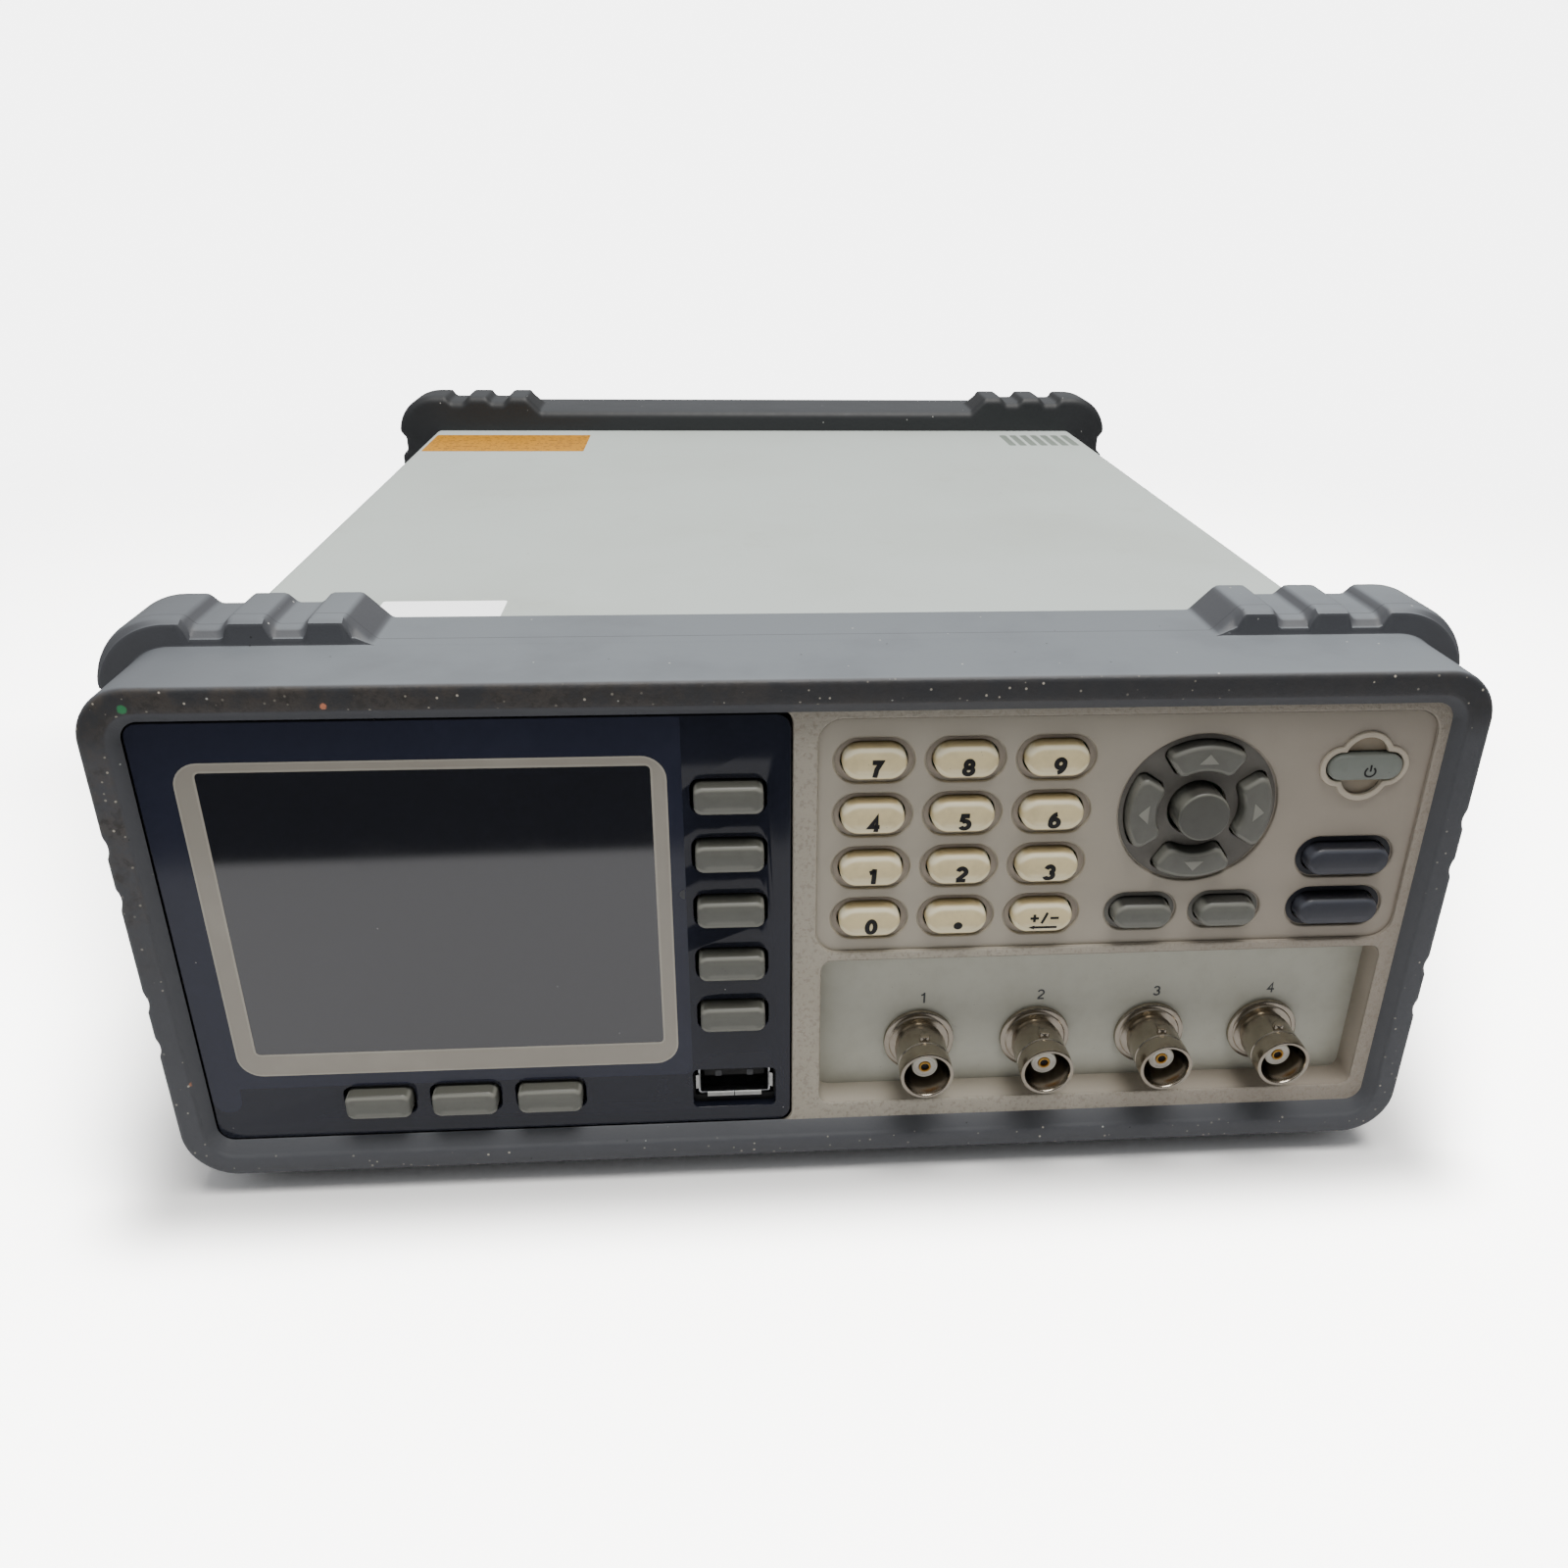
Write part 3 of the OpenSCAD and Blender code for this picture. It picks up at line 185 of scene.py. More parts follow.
class Painter(Tree):
    """A Principled material and the layers painted onto it."""

    def __init__(self, name, colour, rough, metal=0.0, ior=1.5, coat=0.0, coat_rough=0.05):
        self.mat = bpy.data.materials.new(name)
        super().__init__(self.mat)
        self.shader = self.node("BsdfPrincipled", {"Metallic": metal, "IOR": ior, "Coat Weight": coat,
                                                   "Coat Roughness": coat_rough})
        self.surface = Value(self, self.shader.outputs[0])
        self.out = self.node("OutputMaterial", {0: self.surface})
        self.place = self.value("TexCoord", output="Object")
        self.colour, self.rough, self.height = linear(colour), rough, None

    def mapped(self, **values):
        return self.value("Mapping", {"Vector": self.place, **values})

    def noise(self, size_mm, detail=3.0, rough=0.55, stretch=None, seed=0.0):
        """Noise from 0 to 1 whose features are about size_mm across."""
        place = self.mapped(Scale=stretch) if stretch else self.place
        return self.value("TexNoise", {"Vector": place, "Scale": 1 / (size_mm * MM), "Detail": detail,
                                       "Roughness": rough, "W": seed}, "Fac", noise_dimensions="4D")

    def blots(self, low, high, *size_and_detail, **more):
        """Noise sharpened into blots: 0 where it is under low, 1 over high."""
        return self.ramp(self.noise(*size_and_detail, **more), low, high)

    def specks(self, pitch_mm, size, share, seed):
        """Scattered spots: 1 inside them. size is their radius over the pitch."""
        place = self.mapped(Location=(seed * 0.13, seed * 0.07, 0))
        cells = self.node("TexVoronoi", {"Vector": place, "Scale": 1 / (pitch_mm * MM)}).outputs
        near = self.ramp(Value(self, cells["Distance"]), size, size * 0.6)
        pick = self.value("SeparateColor", {0: Value(self, cells["Color"])})
        return near * self.math("LESS_THAN", pick, share)

    def axis(self, which):
        return self.value("SeparateXYZ", {0: self.place}, which)

    def facing(self, which):
        return self.value("SeparateXYZ", {0: self.value("NewGeometry", output="Normal")}, which)

    def between(self, which, start, end, to_low=0.0, to_high=1.0):
        """A ramp between two places along X, Y or Z, in the front view's mm."""
        start, end = (ORIGIN[which] + v * MM for v in (start, end))
        return self.ramp(self.axis(which), start, end, to_low, to_high)

    def tint(self, mask, colour, amount=1.0):
        """Blends the colour in where mask is 1."""
        factor = self.math("MULTIPLY", mask, amount, clamp=True)
        self.colour = self.value("Mix", {0: factor, 6: self.colour, 7: linear(colour)}, 2, data_type="RGBA")

    def roughen(self, mask, amount):
        self.rough = self.math("ADD", self.rough, mask * amount, clamp=True)

    def raise_by(self, mask, depth_mm):
        """Adds depth_mm of relief where mask is 1."""
        step = mask * (depth_mm * MM)
        self.height = self.height + step if self.height else step

    def grain(self, uneven, fine, depth_mm, detail=2, stretch=None):
        """Uneven gloss, given as the size, detail and amount of its noise, and a
        fine relief whose features are fine mm across."""
        self.roughen(self.noise(*uneven[:2]), uneven[2])
        self.raise_by(self.noise(fine, detail, 0.5, stretch), depth_mm)

    def done(self):
        self.feed(self.shader, "Base Color", self.colour)
        self.feed(self.shader, "Roughness", self.rough)
        if self.height:
            bump = self.value("Bump", {"Strength": 1.0, "Distance": 1.0, "Height": self.height})
            self.feed(self.shader, "Normal", bump)
        return self.mat


# A fleck of green and two of copper on the rim, and where the moulds parted
RIM_MARKS = ((-104.3, 43.6, 1.1, "288c54"), (-74.7, 43.6, 0.8, "d6805c"),
             (-107.9, -26.5, 0.9, "ce885c"))
MOULD_LINES = (22.4, 262.0)


def rubber(name, body, dust):
    """Moulded rubber: lighter where it faces up, as dust and as painted light from above, less so to the left
    as painted shade; with grime and chips on the rim.
    """
    p = Painter(name, body, 0.5)
    rim, upper = p.between(Y, 0.7, 0.1), p.between(Z, 34, 41)
    # the dust colour on upward faces is dust and painted light from above; the ramp along X fades it to the
    # left as painted shade
    p.tint(p.between(X, -112, -70, 0.45, 1.0) * p.ramp(p.facing(Z), 0.72, 0.98), dust, 0.9)
    p.tint(p.blots(0.45, 0.7, 26, 5), shade(body, 0.8), 0.2)
    p.tint(rim * upper, "2c2d30", 0.8)
    grime = rim * p.blots(0.4, 0.62, 7, 6, 0.7)
    left = p.between(X, -88, -104) * p.between(Z, -12, 20)
    worst = p.math("MAXIMUM", left, upper * p.between(X, 30, -60, 0.25, 1.0))
    p.tint(grime * worst, "5c5042", 0.35)
    p.tint(grime * (worst * p.blots(0.5, 0.6, 2.2, 5, 0.7, seed=3)), "282624", 0.6)
    chipped = rim * p.ramp(p.noise(9, 3, 0.6, seed=8), 0.44, 0.6, 0.25, 1.0)
    p.tint(chipped * p.specks(1.5, 0.17, 0.5, 1.0), "c4bcae", 0.85)
    p.tint(p.specks(4, 0.055, 0.55, 2.0), "cdcdc8", 0.7)
    p.tint(p.specks(4.5, 0.05, 0.5, 5.0), "28282a", 0.7)
    for x, z, size, colour in RIM_MARKS:
        p.tint(rim * spot_mask(p, x, z, size), colour, 0.9)
    for y in MOULD_LINES:
        off = abs(p.axis(Y) - (LIP_Y + y * MM))
        p.tint(p.ramp(off, 0.16 * MM, 0.05 * MM), shade(body, 0.45), 0.6)
    p.grain((3.5, 4, 0.14), 0.35, 0.02)
    p.raise_by(rim * p.noise(2.6, 5, 0.65), 0.16)
    return p.done()


def spot_mask(p, x, z, size):
    """1 within about size mm of the point x, z on the front rim."""
    dx, dz = p.axis(X) - x * MM, p.axis(Z) - (MID_Z + z * MM)
    away = p.math("SQRT", dx * dx + dz * dz)
    ragged = away + p.noise(1.2, 3, seed=9) * (size * 0.8 * MM)
    return p.ramp(ragged, size * 1.2 * MM, size * 0.9 * MM)


def case_paint():
    p = Painter("case_paint", "c6cfcb", 0.46)
    p.tint(p.blots(0.4, 0.75, 70, 4), "b6bbb4", 0.5)
    p.tint(p.blots(0.55, 0.8, 16, 6, 0.7), "b0b2a8", 0.35)
    p.tint(p.specks(9, 0.03, 0.3, 3.0), "78766e", 0.7)
    p.grain((12, 4, 0.12), 0.8, 0.018, detail=3)
    return p.done()


def panel_beige():
    """Moulded beige: a grained border, darker to the right, with painted shade at the top under the lip and
    on the field's step where it faces down.
    """
    p = Painter("panel_beige", "aaa396", 0.5)
    p.tint(p.blots(0.42, 0.7, 18, 5), "a0998a", 0.4)
    p.tint(p.specks(4.5, 0.05, 0.3, 4.0), "6e6454", 0.6)
    border = p.between(Y, PANEL_Y + 0.28, PANEL_Y + 0.12)
    grain = p.noise(0.7, 2, 0.6)
    p.tint(border * p.ramp(grain, 0.5, 0.36), "80786a", 0.4)
    p.tint(p.between(X, 20, 104), "8c8075", 0.55)
    # painted shade under the front lip, along the panel's top
    p.tint(p.between(Z, 33, 41), "7a7468", 0.5)
    # painted shade on the downward faces of the step into the field
    step = p.ramp(p.facing(Z), -0.25, -0.7) * p.between(Y, PANEL_Y + 0.9, PANEL_Y + 0.7)
    p.tint(step, "403a32", 0.7)
    p.raise_by(border * grain, 0.3)
    p.grain((5, 3, 0.1), 0.3, 0.012)
    return p.done()


def key_skin(name, colour, grime_and_shade, edge_highlight, top=None):
    """A moulded key with blots of grime, and painted light by the way its faces turn: a painted highlight
    along its crease and lower edge, and painted shade under it and on its top side.
    """
    p = Painter(name, colour, 0.36)
    up = p.facing(Z)
    # blots of grime
    p.tint(p.blots(0.4, 0.72, 3.2, 5, 0.6), grime_and_shade, 0.3)
    # painted highlight along the lower edge
    p.tint(p.ramp(up, -0.08, -0.2) * p.ramp(up, -0.75, -0.5), edge_highlight, 0.5)
    # painted shade on the faces turned down
    p.tint(p.ramp(up, -0.6, -0.85), grime_and_shade, 0.7)
    # painted highlight along the crease between top and front
    p.tint(p.ramp(up, 0.1, 0.45) * p.ramp(up, 0.9, 0.6), edge_highlight, 0.85)
    # painted shade on the top side, in top's colour where one is given
    p.tint(p.ramp(up, 0.75, 0.95), top or grime_and_shade, 0.85)
    p.tint(p.specks(1.7, 0.07, 0.35, 6.0), shade(colour, 0.35), 0.5)
    p.grain((2.5, 3, 0.12), 0.25, 0.012)
    return p.done()


def moulded(name, colour, rough, mottle=None, coat=0.0, relief=0.015):
    """Moulded plastic or silicone with a fine grain and uneven tone."""
    p = Painter(name, colour, rough, coat=coat, coat_rough=0.2)
    if mottle:
        p.tint(p.blots(0.4, 0.72, 3.2, 5, 0.6), mottle, 0.5)
    p.tint(p.specks(1.7, 0.07, 0.35, 6.0), shade(colour, 0.35), 0.5)
    p.grain((2.5, 3, 0.12), 0.25, relief)
    return p.done()


def glossy(name, colour, rough, ior=1.5, coat=0.0):
    """A printed glossy sheet with light dust on it."""
    p = Painter(name, colour, rough, ior=ior, coat=coat, coat_rough=0.03)
    p.tint(p.specks(5, 0.03, 0.5, 7.0), "969696", 0.7)
    p.tint(p.blots(0.5, 0.8, 22, 4), shade(colour, 1.35, 0.002), 0.5)
    p.roughen(p.blots(0.45, 0.8, 14, 5, 0.6), 0.05)
    return p.done()


def label_print(name, colour, ink, painted_glow=0.0):
    """Label paper with rows of fine marks too small to be words. painted_glow is
    painted light: the paper gives off light in its own colour so that it looks brighter."""
    p = Painter(name, colour, 0.45)
    if ink:
        rows = p.ramp(p.math("SINE", p.axis(Y) * (2 * math.pi / (2.6 * MM))), 0.0, 0.4)
        p.tint(rows * p.blots(0.5, 0.56, 0.9, 2, 0.6, (1, 0.3, 1)), ink, 0.7)
    # painted light: the paper glows in its own colour
    p.feed(p.shader, "Emission Color", linear(colour))
    p.feed(p.shader, "Emission Strength", painted_glow)
    p.grain((6, 3, 0.1), 0.4, 0.008)
    return p.done()


def metal(name, colour, rough, stain=None, brushed=None):
    p = Painter(name, colour, rough, metal=1.0)
    p.tint(p.blots(0.45, 0.75, 2.4, 4), stain or shade(colour, 0.72), 0.4)
    p.grain((1.2, 4, 0.1), 0.5, 0.004, stretch=brushed)
    return p.done()


def board(name, colour, trace):
    """A circuit board: copper runs show faintly under the solder mask."""
    p = Painter(name, colour, 0.38, coat=0.3)
    runs = p.blots(0.46, 0.5, 2.2, 1, 0.4, (1, 6, 1)) * p.blots(0.4, 0.5, 9, 1)
    p.tint(runs, trace, 0.6)
    p.raise_by(runs, 0.02)
    p.roughen(p.noise(4, 3), 0.1)
    return p.done()


# How bright the floor and the backdrop look to the camera alone: the floor
# is near white, as on a product picture, and still takes the shadow
FLOOR_SEEN, BACKDROP = 5.0, 5.6
# The painted shadow round the object: the share of the floor's brightness left at the object's foot, and how
# far
# that painted shadow reaches in metres: in front, at most, and how fast it widens
SHADE_LEFT, SHADE_FRONT, SHADE_MOST, SHADE_SLOPE = 0.22, 0.026, 0.17, 0.75
BENCH_EDGE = LIP_Y - 129 * MM


def floor_paper():
    """Pale floor that fades out far away, with a painted shadow round the object. To reflections
    alone it looks grey, and dark in front of the bench's edge: painted reflections of a bench that ends
    there."""
    p = Painter("floor_paper", (0.86, 0.86, 0.86, 1.0), 0.9)
    p.raise_by(p.noise(1.5, 3), 0.01)
    beyond = p.ramp(p.axis(Y) + p.axis(X) * 0.035, BENCH_EDGE, LIP_Y - 136 * MM)
    # painted reflections: grey to glossy rays, and dark beyond the bench's edge
    p.tint(p.ray("Glossy"), (0.5, 0.5, 0.52, 1.0))
    p.tint(beyond * p.ray("Glossy"), (0.012, 0.013, 0.018, 1.0))
    # painted shadow: the floor darkens towards the object's footprint, wider further back
    half = [(CAD_BOX[1][i] - CAD_BOX[0][i]) / 2 - 4 * MM for i in (X, Y)]
    off = [p.math("MAXIMUM", abs(p.axis(i)) - half[i], 0.0) for i in (X, Y)]
    away = p.math("SQRT", off[X] * off[X] + off[Y] * off[Y])
    wider = p.math("MULTIPLY", p.axis(Y) - LIP_Y, SHADE_SLOPE, clamp=True)
    reach = p.math("MINIMUM", wider + SHADE_FRONT, SHADE_MOST)
    back = CAD_BOX[1][Y]
    reach = reach * p.ramp(p.axis(Y), back - 0.06, back + 0.01, 1.0, 0.3)
    out = p.math("DIVIDE", away, reach)
    floor_with_painted_shadow = p.ramp(out, 0.0, 1.0, FLOOR_SEEN * SHADE_LEFT, FLOOR_SEEN, "SMOOTHERSTEP")
    seen = p.value("BsdfDiffuse", {"Color": floor_with_painted_shadow})
    by_camera = p.value("MixShader", {0: p.ray("Camera"), 1: p.surface, 2: seen})
    fade = p.ramp(p.value("VectorMath", {0: p.place}, "Value", operation="LENGTH"), 0.3, 0.8)
    clear = p.value("BsdfTransparent")
    p.feed(p.out, 0, p.value("MixShader", {0: fade, 1: by_camera, 2: clear}))
    return p.done()


# Each maker's materials: name, then its colours and finish in the maker's order
MAT = {"case_paint": case_paint(), "panel_beige": panel_beige()}
for make, rows in (
    (rubber, {
        "bumper_rubber": ("4a4c51", "787e84"),
        # painted shade: the same rubber as the bumper's, darker because the back gets less light
        "rear_rubber": ("212326", "404347"),
    }), (glossy, {
        "window_navy": ("1b1e29", 0.1),
        "window_light": ("282b3a", 0.1),
        "window_frame": ("98938a", 0.16),
        "frame_edge": ("a6a196", 0.16),
        "display_black": ("101219", 0.06, 1.9, 1.0),
    }), (metal, {
        "chassis_steel": ("aaaeb2", 0.38, "8c9298", (1, 12, 1)),
        "shield_tin": ("babec0", 0.3, None, (10, 1, 1)),
        "contact_gold": ("cea052", 0.24),
        "spacer_brass": ("c49e5c", 0.3),
        "screw_zinc": ("b0b2b4", 0.28),
        "plated_steel": ("c6c6c2", 0.2),
        "port_steel": ("bec0c2", 0.2),
        "jack_nickel": ("aaa294", 0.18, "867662"),
        # painted reflection: brighter than the port's steel, for the flanges' reflection of the pale bench
        "flange_bright": ("e2e2de", 0.45),
    }), (board, {
        "board_green": ("144a28", "30703e"),
        "board_brown": ("7a542e", "966c42"),
    }), (key_skin, {
        # each key: its colour, its grime and painted shade, its painted edge highlight, and where given the
        # painted shade of its top side
        "key_cream": ("decea0", "b09e76", "faf2d6"),
        "key_grey": ("64655f", "50504a", "808079", "242321"),
        "key_dark": ("363841", "2a2c34", "4c4f58", "18191f"),
        "soft_grey": ("62635d", "54544d", "888880"),
        "pad_grey": ("666660", "52514b", "808078", "3c3c38"),
        "enter_grey": ("54544f", "464540", "74746c", "3e3c38"),
    }), (moulded, {
        "key_clear": ("7a7f79", 0.4, "70746d"),
        "dish_taupe": ("968c80", 0.5, "887e72"),
        "dish_grey": ("686761", 0.5),
        "dish_dark": ("22252d", 0.4),
        "pad_taupe": ("68655f", 0.5, "5c5852"),
        "lobe_brown": ("968a78", 0.45, "90806a"),
        "bay_beige": ("b8b8ad", 0.5, "aeada1"),
        # painted highlight: the panel's beige made lighter for the light along the power rim's crest
        "rim_pale": ("b8ae9d", 0.4),
        # painted light: the arrow keys' own grey made lighter, as the raised marks catch more light
        "arrow_pale": ("86867e", 0.45),
        "patch_green": ("808a82", 0.5),
        "insulator_white": ("dedad0", 0.45, "c8c0b2"),
        "inlet_black": ("222224", 0.42, "303032"),
        "shadow_black": ("0e0e0f", 0.6),
        "transformer_tape": ("c6a446", 0.35, None, 0.4),
        "capacitor_sleeve": ("1e203e", 0.25, None, 0.5),
        "print_black": ("101010", 0.55, None, 0.0, 0.004),
        "print_grey": ("46484c", 0.55, None, 0.0, 0.004),
    }), (label_print, {
        "sticker_orange": ("ca8a00", "683e08"),
        # painted light: the white sticker glows
        "sticker_white": ("fdfeff", None, 1.3),
    }),
):
    MAT.update({name: make(name, *values) for name, values in rows.items()})

# The record's slot for each material that isn't one of its slots itself
STANDS_FOR = {
    "rear_rubber": "bumper_rubber", "flange_bright": "port_steel",
    **dict.fromkeys(("window_light", "window_frame", "frame_edge"), "window_navy"),
    **dict.fromkeys(("pad_grey", "enter_grey", "arrow_pale"), "key_grey"),
    **dict.fromkeys(("sticker_orange", "sticker_white", "patch_green"), "case_paint"),
    **dict.fromkeys(("dish_taupe", "dish_grey", "dish_dark", "pad_taupe"), "panel_beige"),
    **dict.fromkeys(("lobe_brown", "bay_beige", "rim_pale"), "panel_beige"),
}
SLOTS = {m["slot"] for m in frame["record"]["materials"]}

# ---------------------------------------------------------------------------
# Mesh helpers
# ---------------------------------------------------------------------------
COLLECTION = bpy.context.scene.collection
# Faces larger than this are shaded flat, so that long ones show no bands
FLAT_AREA = 25 * MM * MM


def piece(name, mesh, material, node, slot=None, smooth=35):
    """Links a mesh as a piece that stands for a CAD node and rides its body."""
    ob = bpy.data.objects.new(name, mesh)
    COLLECTION.objects.link(ob)
    mesh.materials.clear()
    mesh.materials.append(MAT[material])
    for poly in mesh.polygons:
        poly.use_smooth = True
    mesh.set_sharp_from_angle(angle=math.radians(smooth))
    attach(ob, frame["nodes"][node]["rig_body"])
    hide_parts(node)
    chosen = slot or STANDS_FOR.get(material, material)
    chosen in SLOTS
    return ob


def to_mesh(name, bm):
    mesh = bpy.data.meshes.new(name)
    bm.to_mesh(mesh)
    bm.free()
    return mesh


def finish_mesh(name, bm):
    bmesh.ops.remove_doubles(bm, verts=bm.verts, dist=0.0000005)
    bmesh.ops.recalc_face_normals(bm, faces=bm.faces)
    return to_mesh(name, bm)


def add_strip(bm, a, b, closed=True):
    """Joins two rows of vertices with a band of faces."""
    for i in range(len(a) if closed else len(a) - 1):
        j = (i + 1) % len(a)
        bm.faces.new((a[i], a[j], b[j], b[i]))


def loft(name, rings):
    """A closed mesh through rings of points, each with the same number of them."""
    bm = bmesh.new()
    made = [[bm.verts.new(p) for p in ring] for ring in rings]
    for a, b in zip(made, made[1:]):
        add_strip(bm, a, b)
    bm.faces.new(made[0][::-1])
    bm.faces.new(made[-1])
    return finish_mesh(name, bm)


def arc(cx, cz, r, start, end, steps, rz=None):
    """Points of an arc by its angles in degrees; of an ellipse where rz is given."""
    angles = [math.radians(start + (end - start) * i / steps) for i in range(steps + 1)]
    return [(cx + r * math.cos(a), cz + (rz or r) * math.sin(a)) for a in angles]


def rounded(w, h, r, steps=8, cx=0.0, cz=0.0):
    """A rounded rectangle's outline, counter-clockwise."""
    r = min(r, w / 2 - 1e-4, h / 2 - 1e-4)
    points = []
    for sx, sz, start in ((1, 1, 0), (-1, 1, 90), (-1, -1, 180), (1, -1, 270)):
        points += arc(cx + sx * (w / 2 - r), cz + sz * (h / 2 - r), r, start, start + 90, steps)
    return points


def disc(d, cx=0.0, cz=0.0, steps=48):
    return arc(cx, cz, d / 2, 0, 360 * (steps - 1) / steps, steps - 1)


def turned(points, turn, x, z):
    """Points turned about 0, 0 by turn degrees, then moved to x, z."""
    c, s = math.cos(math.radians(turn)), math.sin(math.radians(turn))
    return [(x + px * c - pz * s, z + px * s + pz * c) for px, pz in points]


def plate(name, loops, y0, y1, edge=0.2, resolution=2):
    """A flat plate from y0 back to y1: the first loop is its outline and the
    others are holes. Its front and back edges are rounded by edge."""
    curve = bpy.data.curves.new(name, "CURVE")
    curve.dimensions = "2D"
    curve.fill_mode = "BOTH"
    for loop in loops:
        spline = curve.splines.new("POLY")
        spline.points.add(len(loop) - 1)
        for point, (x, z) in zip(spline.points, loop):
            point.co = (x * MM, z * MM, 0, 1)
        spline.use_cyclic_u = True
    curve.extrude = ((y1 - y0) / 2 - edge) * MM
    curve.bevel_depth = edge * MM
    curve.bevel_resolution = resolution
    curve.offset = -edge * MM
    ob = bpy.data.objects.new(name, curve)
    COLLECTION.objects.link(ob)
    dg = bpy.context.evaluated_depsgraph_get()
    dg.update()
    mesh = bpy.data.meshes.new_from_object(ob.evaluated_get(dg))
    bpy.data.objects.remove(ob)
    # the curve lies flat, so it is turned to face the front
    mesh.transform(Matrix.Translation(at(0, (y0 + y1) / 2, 0)) @ Matrix.Rotation(math.pi / 2, 4, "X"))
    bm = bmesh.new()
    bm.from_mesh(mesh)
    return finish_mesh(name, bm)


def slab(name, material, node, loops, y0, y1, edge=0.2, resolution=2, slot=None):
    """A plate as a piece of its own."""
    piece(name, plate(name, loops, y0, y1, edge, resolution), material, node, slot)


def dressed(node, material, edge=0.3, segments=2):
    """A CAD node's own shape with its edges rounded, as a piece of its own."""
    bm = bmesh.new()
    bm.from_mesh(frame["nodes"][node].data)
    bmesh.ops.remove_doubles(bm, verts=bm.verts, dist=0.000002)
    bmesh.ops.dissolve_limit(bm, angle_limit=math.radians(1.0), verts=bm.verts, edges=bm.edges)
    sharp = [e for e in bm.edges if len(e.link_faces) == 2 and e.calc_face_angle(0) > math.radians(30)]
    bmesh.ops.bevel(
        bm, geom=sharp, offset=edge * MM, offset_type="OFFSET", segments=segments,
        profile=0.5, affect="EDGES", clamp_overlap=True,
    )
    mesh = finish_mesh(node + "_piece", bm)
    piece(node + "_piece", mesh, material, node)
    for poly in mesh.polygons:
        poly.use_smooth = poly.area < FLAT_AREA


# ---------------------------------------------------------------------------
# Front panel's places and sizes. A box is (width, height, corner, x, z)
# ---------------------------------------------------------------------------
LENS, PANEL, USB, CASE = (Spot(n) for n in ("display_window", "front_panel", "usb_port", "top_cover"))
NUMBER_KEYS = [f"key_{n}" for n in "7894561230"] + ["key_point", "key_sign"]
GREY_KEYS, DARK_KEYS = ["key_esc", "key_trigger"], ["key_measure", "key_setup"]
SOFT_KEYS = [f"soft_key_{i}" for i in range(1, 6)] + [f"menu_key_{i}" for i in range(1, 4)]
ARROWS = {"key_up": 90, "key_down": 270, "key_left": 180, "key_right": 0}
PILL_KEYS = NUMBER_KEYS + GREY_KEYS + DARK_KEYS
SPOT = {k: Spot(k, COLLAR_LAP) for k in PILL_KEYS + SOFT_KEYS + list(ARROWS) + ["key_power", "key_enter"]}

WINDOW_W, WINDOW_H, WINDOW_R = 213.4, 81.2, 3.0
LENS_GAP, LENS_GAP_RIGHT, LENS_R = 0.75, 0.3, 2.4
PANEL_R = WINDOW_R + 1.4
REAR_WINDOW = (203.0, 73.6, 3.0)
FIELD = (103.6, 43.6, 4.0, 53.1, 17.35)
BAY = (101.6, 30.7, 2.0, 53.1, -21.65)
BAY_WALL = 1.6
# How much wider and higher the dishes are than their keys, on each side
NUMBER_DISH, GREY_DISH, DARK_DISH = (1.15, 0.8), (1.05, 1.0), (1.25, 1.15)
KEY_GAP, HOLE_GROW, SOFT_GAP, SOFT_HOLE_R, SOFT_R = 0.35, 0.05, 0.6, 1.6, 1.4
PAD_X, PAD_Z, PAD_R = SPOT["key_enter"].x, SPOT["key_enter"].z, 13.8
CENTRE_HOLE = SPOT["key_enter"].w + 2 * KEY_GAP
ARROW_IN, ARROW_OUT, ARROW_HALF, ARROW_R = 7.5, 12.4, 34.0, 1.3
# The long dish round the power key, the short one across it, and their rim
CLOVER_W, CLOVER_H, CLOVER_TALL, CLOVER_WIDE, CLOVER_RIM = 15.4, 7.2, 12.6, 9.4, 1.0
SOCKET_PITCH, SOCKET_HOLE = 22, 9.5
SOCKETS = [(54.2 + (i - 1.5) * SOCKET_PITCH, -27.4) for i in range(4)]
USB_BAY = (15.1, 8.4, 1.0, USB.x, -32.85)


def box(sizes, steps, grow=0.0, corner=None):
    """The outline of a box of this panel, wider and higher by grow."""
    w, h, r, x, z = sizes
    return rounded(w + grow, h + grow, r if corner is None else corner, steps, x, z)


# ---------------------------------------------------------------------------
# Bumpers: one skin each, walked round the lip's outline. Where the corner
# blocks are, the skin rises from the lip into ribs with grooves between them
# ---------------------------------------------------------------------------
RIB_RISE, GROOVE_RISE, RIB_RAMP = 4.5, 2.8, 1.7
FRONT_SPOT, REAR_SPOT = Spot("front_bumper"), Spot("rear_bumper")
LIP_W, LIP_H, LIP_R = FRONT_SPOT.w - 2 * RIB_RISE, FRONT_SPOT.h - 2 * RIB_RISE, 9.2
BLOCK_R = 12.0
BLOCK_START_X, BLOCK_START_Z = LIP_W / 2 - 41.5, LIP_H / 2 - 28
GROOVES_X = [LIP_W / 2 - 8.5 - (i + 0.5) * 13 for i in (0, 1)]
GROOVE_Z = LIP_H / 2 + RIB_RISE - 15
GROOVE_HALF = 2.1
FRONT_LIP_LEN, REAR_LIP_LEN = 19.0, 9.0
SCOOPS_Z = (19.9, 10.6, -9.4, -18.6)
SCOOP_R, SCOOP_DEPTH = 3.9, 0.5
BEVEL_RIM, SLACK = 3.8, 0.4
# Corners of the hollows that hold the cover and the panel, and the skins' end edges
GRIP_R, SLOT_R, FRONT_END, REAR_END = 4.0, 4.6, 1.2, 2.6
# Steps of the walk: fine and coarse ones along a side, and those of a corner
FINE, COARSE, CORNER_STEPS = 0.6, 9.0, 26
LIP_EDGE = 1.1
